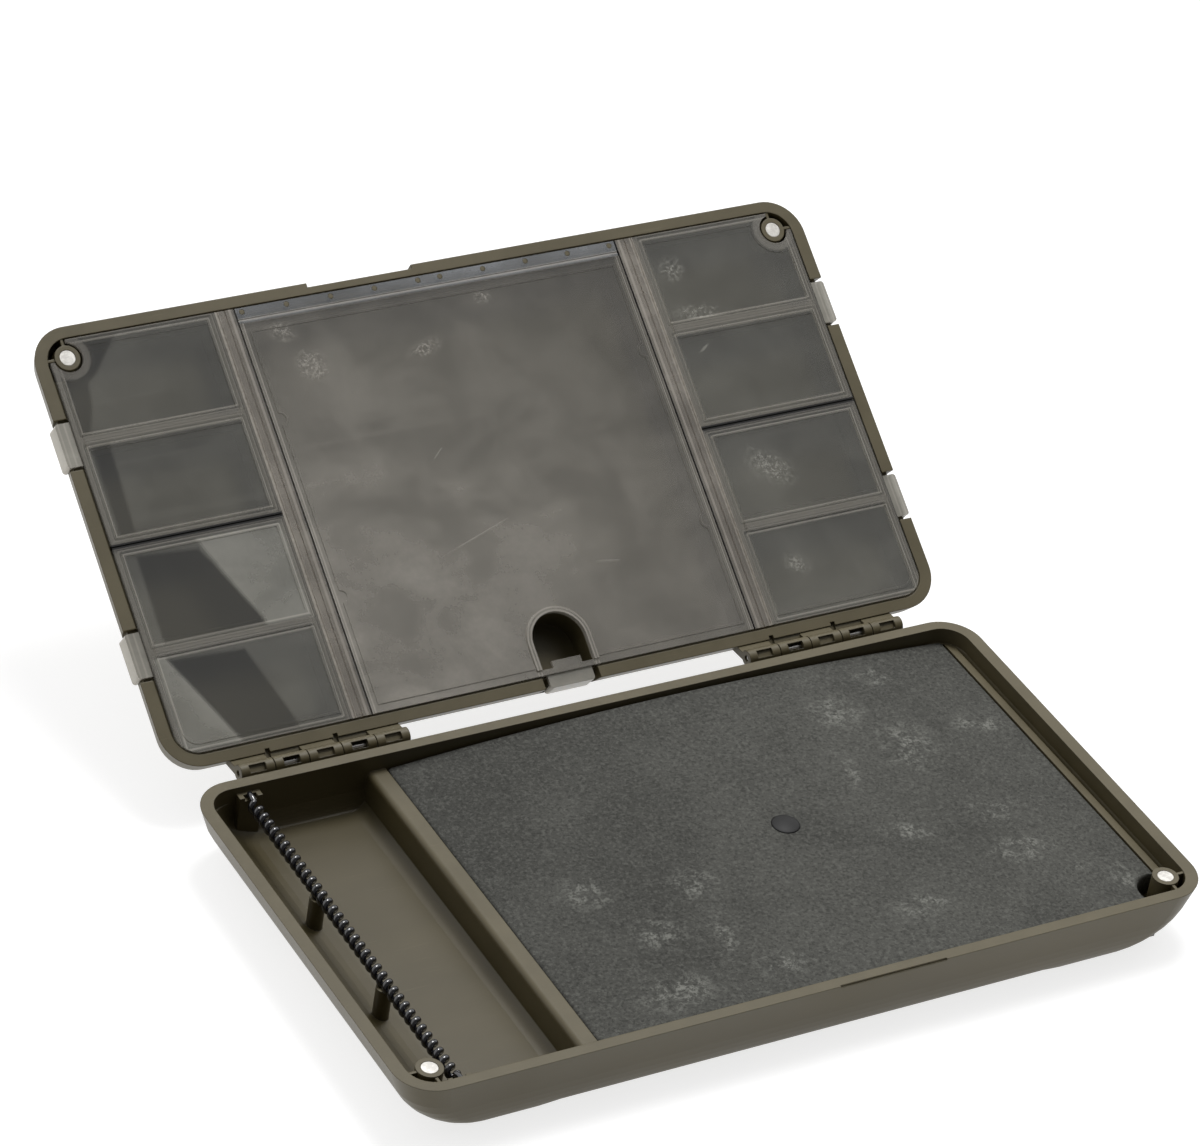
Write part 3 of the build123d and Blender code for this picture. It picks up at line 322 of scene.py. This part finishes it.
def moulded_plastic(name, dark, light, rub, gloss, shine=0.4, tops=None):
    """Opaque moulded plastic: slow colour drift, spark texture, fine scratches, and on the tops a paler tint that
    is partly rubbed wear and partly painted sheen.

    Tops are (upwards, height): faces turned upwards that lie beyond that height, measured that way."""
    made = Finish(name)
    drift = made.noise(9.0, 4.0, 0.6)
    flow = made.noise(3.0, 2.0, 0.5, made.shift(scale=(3.0, 14.0, 6.0)))
    body = made.tint(made.span(made.times(drift, flow), 0.12, 0.42), dark, light)
    speck = made.span(made.noise(900.0, 3.0, 0.7), 0.62, 0.76)
    grain = made.shift(scale=(1.0, 22.0, 22.0), turn=(0, 0, 28))
    hair = made.span(made.noise(60.0, 2.0, 0.5, grain, 0.6), 0.66, 0.72)
    marks_and_sheen = made.most(made.times(speck, 0.10), made.times(hair, 0.14))
    # Rubbed wear and painted sheen: faces that look up from the tops turn towards the pale rub colour.
    if tops:
        upwards, height = tops
        level = made.span(made.dot(made.place, upwards), height - TOP_SOFT, height + TOP_SOFT)
        faces_up = made.span(made.dot(made.normal, upwards), 0.45, 0.90)
        wear_and_sheen = made.span(made.noise(45.0, 5.0, 0.65), 0.30, 0.70, 0.20, 0.42)
        marks_and_sheen = made.sum(marks_and_sheen, made.times(made.times(faces_up, level), wear_and_sheen))
    body = made.tint(marks_and_sheen, body, rub)
    rough = made.span(made.sum(drift, marks_and_sheen), 0.35, 0.75, *gloss)
    soft = made.add("ShaderNodeBevel", samples=6)
    soft.inputs["Radius"].default_value = BEVEL
    normal = made.bump(made.noise(140.0, 2.0, 0.5), 0.00003, 1.0, soft.outputs["Normal"])
    normal = made.bump(made.noise(1500.0, 2.0, 0.6), 0.000008, 1.0, normal)
    return made.finish(body, rough, normal, IOR=1.5, Specular_IOR_Level=shine)


def dress(name, material):
    """Gives a CAD node its material in every slot."""
    mesh = nodes[name].data
    if not mesh.materials:
        mesh.materials.append(material)
    for slot in range(len(mesh.materials)):
        mesh.materials[slot] = material


BASE_TOPS = ((0.0, 0.0, 1.0), 0.0170)
LID_TOPS = ((0.0, -0.55194, 0.83389), 0.0092)
for half, tops in (("base", BASE_TOPS), ("lid", LID_TOPS)):
    plastic = moulded_plastic("olive_" + half, OLIVE, OLIVE_LIGHT, OLIVE_RUB_AND_SHEEN, OLIVE_GLOSS, tops=tops)
    dress(half + "_tray", plastic)

# Covers, strips and clips: clear polycarbonate sheet that turns on living hinges.
# A sealing lip runs round each cell below, and handling has left a film on top.
# Painted light and shade lie in the film too: pale and dark patches in the left cells, and black lines along the
# gaps.
LID_MIDDLE, LID_TURN = (0.0, 0.081647, 0.097686), -146.5
CLEAR_TINT = (0.76, 0.76, 0.74)
CENTRE_FILM, SIDE_FILM, LIP_FILM = (0.44, 0.41, 0.36), (0.44, 0.43, 0.38), (0.52, 0.48, 0.42)
STRIP_FILM, STRIP_TINT = (0.47, 0.43, 0.37), (0.72, 0.69, 0.66)
CLIP_FILM, CLIP_TINT, TOP_STRIP_FILM = (0.46, 0.44, 0.38), (0.70, 0.69, 0.66), (0.44, 0.46, 0.49)
COVERS_END, SIDES_END = 0.0871, 0.1692  # from the lid's middle: to the front and rear, and to both sides
CENTRE_LIPS = ((0.0851, 0.0005), (0.0864, 0.0004))
CELLS = (((0.1319, 0.0660), (0.0337, 0.0191)), ((0.1319, 0.0227), (0.0337, 0.0193)))
CELL_LIPS = ((-0.0003, 1.0), (0.0013, 0.9), (0.0023, 0.7))
MAGNET_AT, NOTCH_RING = (0.1608, -0.07915), 0.0093
FINGER_AT, FINGER_RINGS = (0.0012, 0.0737), (0.0123, 0.0137)
STRIP_EDGE, STRIP_LIP, STRIP_FROST = 0.0868, 0.0888, 0.0946
TOP_LIP, TOP_LINE = -0.0815, -0.0796
CLIP_HIGHLIGHTS = ((0.1712, 0.0006), (0.1738, 0.0006))
PATCH_SOFT = 0.0012
# Painted shade: in these outlines the film is thinned, so they show dark.
PAINTED_DARK_PATCHES = (
    ((-166, -86), (-138, -86), (-152, -70), (-166, -61)),
    ((-166, -72), (-151.5, -72), (-157.6, -57.3), (-159.5, -46), (-166, -46)),
    ((-163.5, -42), (-155.5, -42), (-157, -4), (-163.5, -4)),
    ((-160, 5.0), (-134.2, 7.0), (-117.5, 39.5), (-118, 42), (-160.5, 42)),
    ((-161, 48.5), (-129, 50), (-117.5, 83.4), (-118, 85.5), (-142, 85.5)),
)
# Painted light: in these outlines the film is thickened, so they show pale.
PAINTED_LIGHT_PATCHES = (
    ((-167, 47), (-162, 47), (-142, 86), (-167, 86)),
    ((-134, 3), (-97, 3), (-97, 43), (-116.5, 43)),
)
CENTRE_SCUFFS = ((-70, -74, 9, 6, 20), (-62, -58, 9, 11, -40), (20, -73, 6, 4, 0), (-12, -56, 12, 5, -15))
CENTRE_SCRATCHES = ((-18, 25, 24, 0.35, -17), (-22, -12, 7, 0.3, -40), (35, 46, 9, 0.3, 10))
SIDE_SCUFFS = ((112, -50, 16, 5, 6), (120, 21, 17, 10, 40), (116, 64, 9, 6, 30), (108, -70, 8, 8, 0))
SIDE_SCRATCHES = (
    (110, -34, 4, 0.9, -32), (-135, 59.5, 9, 0.35, 18),
    (-141, 28, 12, 0.3, -12), (117, -47, 12, 0.5, 4),
)


def in_metres(places):
    """The same rows with their millimetres as metres; the fifth number of each, a turn, is kept."""
    return [(*(number / 1000 for number in row[:4]), row[4]) for row in places]


def handling(made, level, scuffs=(), scratches=()):
    """Film left by hands: a level made uneven by clouds and wipe marks, then rubbed patches and scratches."""
    cloud = made.span(made.noise(30.0, 4.0, 0.55, None, 0.5), 0.30, 0.70, 0.74, 1.26)
    stroke = made.shift(scale=(0.35, 1.0, 1.0), turn=(0, 0, -16))
    wipe = made.span(made.noise(45.0, 3.0, 0.6, stroke, 0.4), 0.32, 0.68, 0.86, 1.14)
    speck = made.span(made.noise(330.0, 4.0, 0.7), 0.30, 0.70, 0.95, 1.05)
    film = made.times(made.times(made.times(level, cloud), wipe), speck)
    comb = made.shift(scale=(0.05, 3.0, 1.0), turn=(0, 0, 24))
    hair = made.span(made.noise(60.0, 2.0, 0.5, comb, 0.3), 0.63, 0.70)
    film = made.sum(film, made.times(hair, 0.022))
    if scuffs:
        grit = made.span(made.noise(620.0, 4.0, 0.75, None, 0.4), 0.46, 0.62)
        rubbed = made.times(made.spots(in_metres(scuffs)), grit)
        film = made.sum(film, made.times(rubbed, 0.34))
    if scratches:
        film = made.sum(film, made.times(made.spots(in_metres(scratches)), 0.22))
    return film


def centre_film(made):
    """Centre cover: more film towards the finger notch and the left, which is partly handling film and partly
    painted reflection, lines at its long sides, two rings round the notch, and a painted shadow line at its end.
    """
    x, y = made.axis("X"), made.axis("Y")
    wide = made.size(x)
    # Partly handling film, partly painted reflection: the film thickens towards the notch, the left and the
    # corners at the notch end.
    level = made.times(made.span(y, -0.095, 0.045, 0.120, 0.264), made.span(x, -0.030, 0.088, 1.20, 0.60))
    corners = made.times(made.span(wide, 0.012, 0.060), made.span(y, -0.010, 0.060, 0.0, 0.062))
    film = handling(made, made.sum(level, corners), CENTRE_SCUFFS, CENTRE_SCRATCHES)
    lip = made.most(*(made.line(wide, *place) for place in CENTRE_LIPS))
    inward = made.sum(made.less(y, FINGER_AT[1]), 0.0, "MINIMUM")
    notch = made.far(made.less(x, FINGER_AT[0]), inward)
    for radius in FINGER_RINGS:
        lip = made.most(lip, made.line(notch, radius, 0.0005))
    # Painted shadow: a dark line along the gap at the cover's end.
    return film, lip, made.line(y, COVERS_END, 0.0008)


def side_film(made):
    """Side cover: lips round both its cells, a ring round the magnet's notch, painted light and shade as pale and
    dark patches in the film, and painted shadow lines along its gaps.
    """
    x, y = made.axis("X"), made.axis("Y")
    wide, deep = made.size(x), made.size(y)
    film = handling(made, made.span(y, -0.05, 0.085, 0.082, 0.128), SIDE_SCUFFS, SIDE_SCRATCHES)
    # Painted light and shade: pale patches get more film, dark patches lose most of theirs.
    light_patches = made.times(made.patches(PAINTED_LIGHT_PATCHES, PATCH_SOFT), 0.20)
    film = made.sum(film, made.times(light_patches, made.span(film, 0.04, 0.14, 0.7, 1.3)))
    film = made.times(film, made.sum(made.patches(PAINTED_DARK_PATCHES, PATCH_SOFT), -0.90, "MULTIPLY_ADD", 1.0))
    edge = made.sum(*(made.beyond(wide, deep, *cell) for cell in CELLS), "MINIMUM")
    film = made.times(film, made.span(edge, 0.0003, 0.0009, 1.0, 0.45))
    lip = 0.0
    for at, share in CELL_LIPS:
        lip = made.most(lip, made.times(made.line(edge, at, 0.0005), share))
    ring = made.far(made.less(wide, MAGNET_AT[0]), made.less(y, MAGNET_AT[1]))
    within = made.span(ring, NOTCH_RING - 0.0004, NOTCH_RING + 0.0004, 1.0, 0.0)
    lip = made.most(lip, made.times(within, 0.45))
    # Painted shadow: dark lines along the gaps between the covers and at their outer edges.
    gap = made.most(made.line(deep, 0.0004, 0.0010), made.line(deep, COVERS_END, 0.0008))
    return film, lip, made.most(gap, made.line(wide, SIDES_END, 0.0008))


def side_strip_film(made):
    """Side strip: a frosted band beside its cover, a clear band where it is thin, and a painted shadow line in
    the gap by the centre.
    """
    wide = made.size(made.axis("X"))
    frost = made.span(made.noise(700.0, 3.0, 0.7), 0.30, 0.65, 0.5, 1.25)
    band = made.times(made.line(wide, STRIP_FROST, 0.0012), frost)
    lip = made.most(band, made.times(made.line(wide, STRIP_LIP, 0.0008), 0.75))
    return handling(made, 0.29), made.times(lip, 1.1), made.line(wide, STRIP_EDGE, 0.0006)


def top_strip_film(made):
    """Centre cover's strip: a milky band at the hinge, two bright lines where the sheet thickens, and a painted
    shadow line in the gap to the cover.
    """
    y = made.axis("Y")
    film = handling(made, made.span(y, -0.0875, -0.0820, 0.31, 0.21))
    lip = made.most(made.times(made.line(y, TOP_LIP, 0.0008), 1.6), made.line(y, TOP_LINE, 0.0006))
    return film, made.times(lip, 1.1), made.line(y, -COVERS_END, 0.0008)


def clip_film(made):
    """Clip: milky bar with a painted highlight line down each long side."""
    wide = made.size(made.axis("X"))
    # Painted highlights down the long sides.
    lip = made.most(*(made.line(wide, *place) for place in CLIP_HIGHLIGHTS))
    return handling(made, 0.46), made.times(lip, 0.5), 0.0


def clear_plastic(name, film, haze, tint=CLEAR_TINT, gloss=0.03):
    """Clear sheet: smoky and see-through, with a milky share for its film, its lips and its cut edges, and black
    along its gaps, a painted shadow.

    A mirror lies over both. Its share is 4%, and nine tenths at grazing angles."""
    made = Finish(name)
    flat = made.add("ShaderNodeMapping", vector_type="TEXTURE")
    made.join(made.place, flat.inputs["Vector"])
    flat.inputs["Location"].default_value = LID_MIDDLE
    flat.inputs["Rotation"].default_value = (math.radians(LID_TURN), 0.0, 0.0)
    made.place = flat.outputs["Vector"]
    worn, lip, gap = film(made)
    cut = made.span(made.size(made.dot(made.normal, LID_TOPS[0])), 0.30, 0.95, 0.30, 0.0)
    lip = made.times(lip, 0.26)
    # Painted shadow: along the gap lines the film is left out and the see-through colour turns black.
    milky = made.times(made.sum(made.sum(worn, lip), cut), made.less(1.0, gap))
    share_of_lip = made.sum(made.sum(lip, cut), made.sum(milky, 0.001), "DIVIDE")
    made.finish(made.tint(share_of_lip, haze, LIP_FILM), 0.6, None, Specular_IOR_Level=0.0)
    through = made.add("ShaderNodeBsdfTransparent")
    made.join(made.tint(gap, tint, (0.0, 0.0, 0.0)), through.inputs["Color"])
    body = made.blend(milky, through.outputs["BSDF"], made.shader.outputs["BSDF"])
    mirror = made.add("ShaderNodeBsdfAnisotropic")
    mirror.inputs["Color"].default_value = (1.0, 1.0, 1.0, 1.0)
    made.join(made.span(milky, 0.0, 0.5, gloss, 0.35), mirror.inputs["Roughness"])
    made.join(made.bump(made.noise(14.0, 2.0, 0.5), 0.00012), mirror.inputs["Normal"])
    grazing = made.add("ShaderNodeLayerWeight").outputs["Facing"]
    share = made.span(made.sum(grazing, 4.0, "POWER"), 0.0, 1.0, 0.042, 0.9)
    skin = made.blend(share, body, mirror.outputs["BSDF"])
    made.join(skin, made.tree.nodes["Material Output"].inputs["Surface"])
    return made.material


CORNERS = ("left_front", "left_rear", "right_front", "right_rear")
dress("centre_cover", clear_plastic("clear_centre", centre_film, CENTRE_FILM))
side_sheet = clear_plastic("clear_side", side_film, SIDE_FILM)
side_strip = clear_plastic("clear_strip", side_strip_film, STRIP_FILM, STRIP_TINT)
clip_bar = clear_plastic("clear_clip", clip_film, CLIP_FILM, CLIP_TINT, 0.12)
dress("centre_strip", clear_plastic("clear_top_strip", top_strip_film, TOP_STRIP_FILM))
dress("centre_clip", clip_bar)
for strip in ("left_strip", "right_strip"):
    dress(strip, side_strip)
for corner in CORNERS:
    dress(corner + "_cover", side_sheet)
    dress(corner + "_clip", clip_bar)

# Foam pad: a sheet of fine closed-cell foam pressed between the divider and the
# ledge, so that it crowns in the middle. A stud holds it down at its centre.
DEEP = -0.085833  # from the box's middle to the model's origin, front to back
PAD_LEFT, PAD_RIGHT, PAD_HALF = -0.0912, 0.1639, 0.0871
PAD_FLOOR, PAD_EDGE, PAD_CROWN = 0.0044, 0.0195, 0.0246
PAD_CORNER, PAD_ROUND = 0.0015, 0.0016
SIDE_POINTS, CORNER_POINTS, NOTCH_POINTS, RIM_RINGS, CROWN_RINGS = 48, 9, 24, 7, 40
NOTCH_AT, NOTCH_RADIUS = (0.1608, -0.07915), 0.0096
STUD_AT = 0.03635
FOAM_DARK, FOAM_LIGHT, FOAM_DUST = (0.050, 0.050, 0.045), (0.079, 0.079, 0.071), (0.22, 0.222, 0.200)
FOAM_PORE = (0.020, 0.020, 0.018)
SCUFFS = (
    (122, 72, 14, 9, -20), (94, 56, 18, 15, 0), (110, 28, 18, 28, -20), (148, 34, 17, 9, -10),
    (78, 22, 7, 18, -10), (123, -16, 18, 13, 0), (119, -41, 22, 12, 0), (137, -57, 6, 5, 0),
    (81, -19, 17, 8, -15), (150, -68, 10, 12, 0), (-15, -19, 15, 14, 0), (-42, -38, 15, 14, 0),
    (-20, -49, 8, 20, -20), (-6, -71, 17, 11, 0), (-52, -70, 24, 14, 0), (-55, -8, 17, 13, 0),
    (62, -60, 20, 10, 0),
)


def surface(name, rows, far_cap=False):
    """Mesh of rings of points: ring i, point j joins its neighbours, and a flat cap closes ring 0.

    A second cap closes the last ring if far_cap."""
    count, around = rows.shape[:2]
    index = np.arange(count * around).reshape(count, around)
    right = np.roll(index, -1, axis=1)
    quads = np.stack((index[:-1], right[:-1], right[1:], index[1:]), axis=-1).reshape(-1, 4)
    faces = quads.tolist() + [index[0][::-1].tolist()]
    if far_cap:
        faces.append(index[-1].tolist())
    mesh = bpy.data.meshes.new(name)
    mesh.from_pydata(rows.reshape(-1, 3).tolist(), [], faces)
    mesh.polygons.foreach_set("use_smooth", np.ones(len(mesh.polygons), bool))
    mesh.update()
    made = bpy.data.objects.new(name, mesh)
    bpy.context.collection.objects.link(made)
    return made


def straight(start, end, count):
    """Points on a line: the start plus a growing share of the way to the end, which is left out."""
    share = np.linspace(0, 1, count, endpoint=False)[:, None]
    return share * (np.array(end) - start) + np.array(start)


def arc(centre, radius, angles):
    """Points on a circle: the centre plus the radius times the cosine and the sine of each angle."""
    return np.stack([centre[0] + radius * np.cos(angles), centre[1] + radius * np.sin(angles)], axis=-1)


def pad_outline():
    """Points round the pad, anticlockwise: straight sides, rounded corners, and the notch at the front right."""
    left, right, low, high, bend = PAD_LEFT, PAD_RIGHT, -PAD_HALF, PAD_HALF, PAD_CORNER
    quarter = np.linspace(0, 90, CORNER_POINTS, endpoint=False)
    cx, cy = NOTCH_AT
    front = cx - math.sqrt(NOTCH_RADIUS**2 - (low - cy) ** 2)
    side = cy + math.sqrt(NOTCH_RADIUS**2 - (right - cx) ** 2)
    first = math.atan2(low - cy, front - cx) % (2 * math.pi)
    last = math.atan2(side - cy, right - cx) % (2 * math.pi)
    return np.concatenate(
        [
            arc((left + bend, low + bend), bend, np.radians(180 + quarter)),
            straight((left + bend, low), (front, low), SIDE_POINTS),
            arc(NOTCH_AT, NOTCH_RADIUS, np.linspace(first, last, NOTCH_POINTS, endpoint=False)),
            straight((right, side), (right, high - bend), SIDE_POINTS),
            arc((right - bend, high - bend), bend, np.radians(quarter)),
            straight((right - bend, high), (left + bend, high), SIDE_POINTS),
            arc((left + bend, high - bend), bend, np.radians(90 + quarter)),
            straight((left, high - bend), (left, low + bend), SIDE_POINTS),
        ]
    )


def crown_height(x):
    """Height of the foam over x: one arc of a circle through both ends and the crown.

    Its radius is (half width squared + rise squared) / (2 rise), its centre a radius below the crown."""
    half, rise = (PAD_RIGHT - PAD_LEFT) / 2, PAD_CROWN - PAD_EDGE
    radius = (half**2 + rise**2) / (2 * rise)
    return PAD_CROWN - radius + np.sqrt(radius**2 - (x - STUD_AT) ** 2)


def pad_rows():
    """Rings of points from the underside up the wall, over the rounded rim and in across the crown to the stud.

    Round the rim, a ring at angle b has moved in by r (1 - cos b) and lies r (1 - sin b) below the crown."""
    outline = pad_outline()
    centre = np.array((STUD_AT, 0.0))
    inward = centre - outline
    inward /= np.linalg.norm(inward, axis=1)[:, None]
    bend = np.radians(np.linspace(0, 90, RIM_RINGS))
    move = np.concatenate([[0.0], PAD_ROUND * (1 - np.cos(bend))])
    drop = np.concatenate([[0.0], PAD_ROUND * (1 - np.sin(bend))])
    wall = outline[None] + inward[None] * move[:, None, None]
    wall_z = crown_height(wall[..., 0]) - drop[:, None]
    wall_z[0] = PAD_FLOOR
    reach = np.concatenate([np.linspace(1.0, 0.03, CROWN_RINGS)[1:], [0.0]])
    top = centre + (wall[-1] - centre)[None] * reach[:, None, None]
    rows = np.concatenate([wall, top])
    height = np.concatenate([wall_z, crown_height(top[..., 0])])
    return np.dstack([rows[..., 0], rows[..., 1] + DEEP, height])


pad = surface("foam_sheet", pad_rows())


def foam(name):
    """Fine dark foam: skin with tiny pores, paler dust on the high spots, scuffs and soft dents, and painted
    light that pales it towards the front.
    """
    made = Finish(name)
    cloud = made.noise(17.0, 4.0, 0.6)
    # Painted light: the foam turns paler towards the front of the pad.
    front = made.span(made.axis("Y"), -0.175, -0.050, 0.22, 0.0)
    body = made.tint(made.sum(made.span(cloud, 0.30, 0.72), front), FOAM_DARK, FOAM_LIGHT)
    grain = made.noise(620.0, 3.0, 0.75)
    body = made.tint(made.times(made.span(grain, 0.44, 0.68), 0.26), body, FOAM_DUST)
    pores = made.span(made.noise(760.0, 2.0, 0.6, made.shift(move=(0.3, 0.1, 0.0))), 0.36, 0.50, 0.55, 1.0)
    body = made.tint(pores, FOAM_PORE, body)
    places = [(x, y + DEEP, wide, deep, turn) for x, y, wide, deep, turn in in_metres(SCUFFS)]
    rubbed = made.times(made.spots(places), made.span(made.noise(150.0, 6.0, 0.78, None, 0.7), 0.44, 0.60))
    rubbed = made.times(rubbed, made.span(made.noise(600.0, 3.0, 0.7), 0.40, 0.58))
    body = made.tint(made.times(rubbed, 0.85), body, FOAM_DUST)
    pits = made.span(made.cells(900.0), 0.10, 0.50)
    normal = made.bump(cloud, 0.0006)
    normal = made.bump(pits, 0.00010, 0.8, normal)
    normal = made.bump(made.noise(1500.0, 2.0, 0.6), 0.00006, 0.6, normal)
    return made.finish(body, 0.92, normal, Specular_IOR_Level=0.25)


pad.data.materials.append(foam("foam_skin"))
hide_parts("foam_pad")
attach(pad, "base")

# Rig spring: one thick black wire wound with gaps, its straight tails held by the
# brackets at both ends. Anglers hook the ends of their rigs between its turns.
SPRING_X, SPRING_Z = -0.151, 0.0210
COIL_RADIUS, WIRE_RADIUS = 0.00155, 0.00125
PITCH, TURNS = 0.00442, 37
TAIL_END = 0.08607
TAIL_LIFT, LIFT_RATE = 0.0007, 2.2
TURN_POINTS, TAIL_POINTS, WIRE_SIDES = 36, 6, 16
WIRE_BLACK, WIRE_RUB = (0.011, 0.011, 0.014), (0.05, 0.05, 0.055)


def tube(path, radius, sides, up):
    """Round tube: at each point of the path, the point plus a circle of that radius square to the path.

    The circle is the cosine times the sideways vector plus the sine times the one square to it."""
    along = np.gradient(path, axis=0)
    along /= np.linalg.norm(along, axis=1)[:, None]
    across = np.cross(along, up)
    across /= np.linalg.norm(across, axis=1)[:, None]
    over = np.cross(across, along)
    angle = np.linspace(0, 2 * np.pi, sides, endpoint=False)
    ring = np.cos(angle)[None, :, None] * across[:, None] + np.sin(angle)[None, :, None] * over[:, None]
    return path[:, None] + radius * ring


def spring_path():
    """Coil and tails: each turn is a circle of COIL_RADIUS while the path moves on by PITCH.

    The tails run straight on along the coil's top, a little raised, to the brackets."""
    turns = np.linspace(0.0, TURNS, TURNS * TURN_POINTS + 1)
    coil = np.column_stack(
        [
            SPRING_X + COIL_RADIUS * np.sin(2 * np.pi * turns),
            PITCH * (turns - TURNS / 2),
            SPRING_Z + COIL_RADIUS * np.cos(2 * np.pi * turns),
        ]
    )
    half_coil = PITCH * TURNS / 2
    run = np.linspace(0, 1, TAIL_POINTS + 1)[1:]
    lift = TAIL_LIFT * np.minimum(1.0, LIFT_RATE * run)
    tail = np.column_stack(
        [np.full(TAIL_POINTS, SPRING_X), half_coil + (TAIL_END - half_coil) * run, SPRING_Z + COIL_RADIUS + lift]
    )
    return np.concatenate([tail[::-1] * (1, -1, 1), coil, tail])


path = spring_path()
radial = (path - (SPRING_X, 0.0, SPRING_Z)) * (1, 0, 1)
radial /= np.linalg.norm(radial, axis=1)[:, None]
wire_rows = tube(path, WIRE_RADIUS, WIRE_SIDES, radial)
wire_rows[:, :, 1] += DEEP
wire = surface("spring_wire", wire_rows[:, ::-1], far_cap=True)


def black_wire(name):
    """Black coated spring wire: glossy, with the coating rubbed a little paler and duller in places."""
    made = Finish(name)
    rub = made.span(made.noise(420.0, 4.0, 0.7), 0.55, 0.75)
    body = made.tint(made.times(rub, 0.25), WIRE_BLACK, WIRE_RUB)
    rough = made.span(rub, 0.0, 1.0, 0.10, 0.26)
    return made.finish(body, rough, made.bump(made.noise(1200.0, 2.0, 0.5), 0.00002), Metallic=0.0, IOR=1.9)


wire.data.materials.append(black_wire("black_wire"))
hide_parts("rig_spring")
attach(wire, "base")

# Stud: a domed black nylon rivet pressed through the foam into the floor. Its
# moulded skin has picked up foam dust.
NYLON, NYLON_LIGHT, NYLON_RUB = (0.012, 0.012, 0.012), (0.020, 0.020, 0.020), (0.10, 0.10, 0.10)
dress("pad_stud", moulded_plastic("black_nylon", NYLON, NYLON_LIGHT, NYLON_RUB, (0.42, 0.56), 0.2))

# Hinge pins and magnets: drawn steel wire, and nickel-plated discs pressed flush
# into their bosses. Handling has stained the faces.
STEEL_DARK, STEEL_LIGHT = (0.42, 0.41, 0.39), (0.62, 0.61, 0.60)
NICKEL_DARK, NICKEL_LIGHT = (0.62, 0.60, 0.56), (0.84, 0.82, 0.77)


def metal(name, dark, light, gloss, grain, stretch=(1.0, 1.0, 1.0), metallic=1.0):
    """Bare or plated metal: fine grain, drawn out by stretch, soft stains and small dull spots."""
    made = Finish(name)
    lines = made.noise(grain, 3.0, 0.6, made.shift(scale=stretch))
    stain = made.noise(240.0, 4.0, 0.6)
    body = made.tint(made.span(made.times(lines, stain), 0.15, 0.40), dark, light)
    rough = made.span(stain, 0.30, 0.75, *gloss)
    return made.finish(body, rough, made.bump(lines, 0.00001, 0.5), Metallic=metallic)


steel = metal("drawn_steel", STEEL_DARK, STEEL_LIGHT, (0.22, 0.42), 900.0, (1.0, 20.0, 20.0))
for pin in ("left_hinge_pin", "right_hinge_pin"):
    dress(pin, steel)
nickel = metal("nickel_plate", NICKEL_DARK, NICKEL_LIGHT, (0.30, 0.45), 700.0, metallic=0.3)
for name in nodes:
    if name.endswith("magnet"):
        dress(name, nickel)
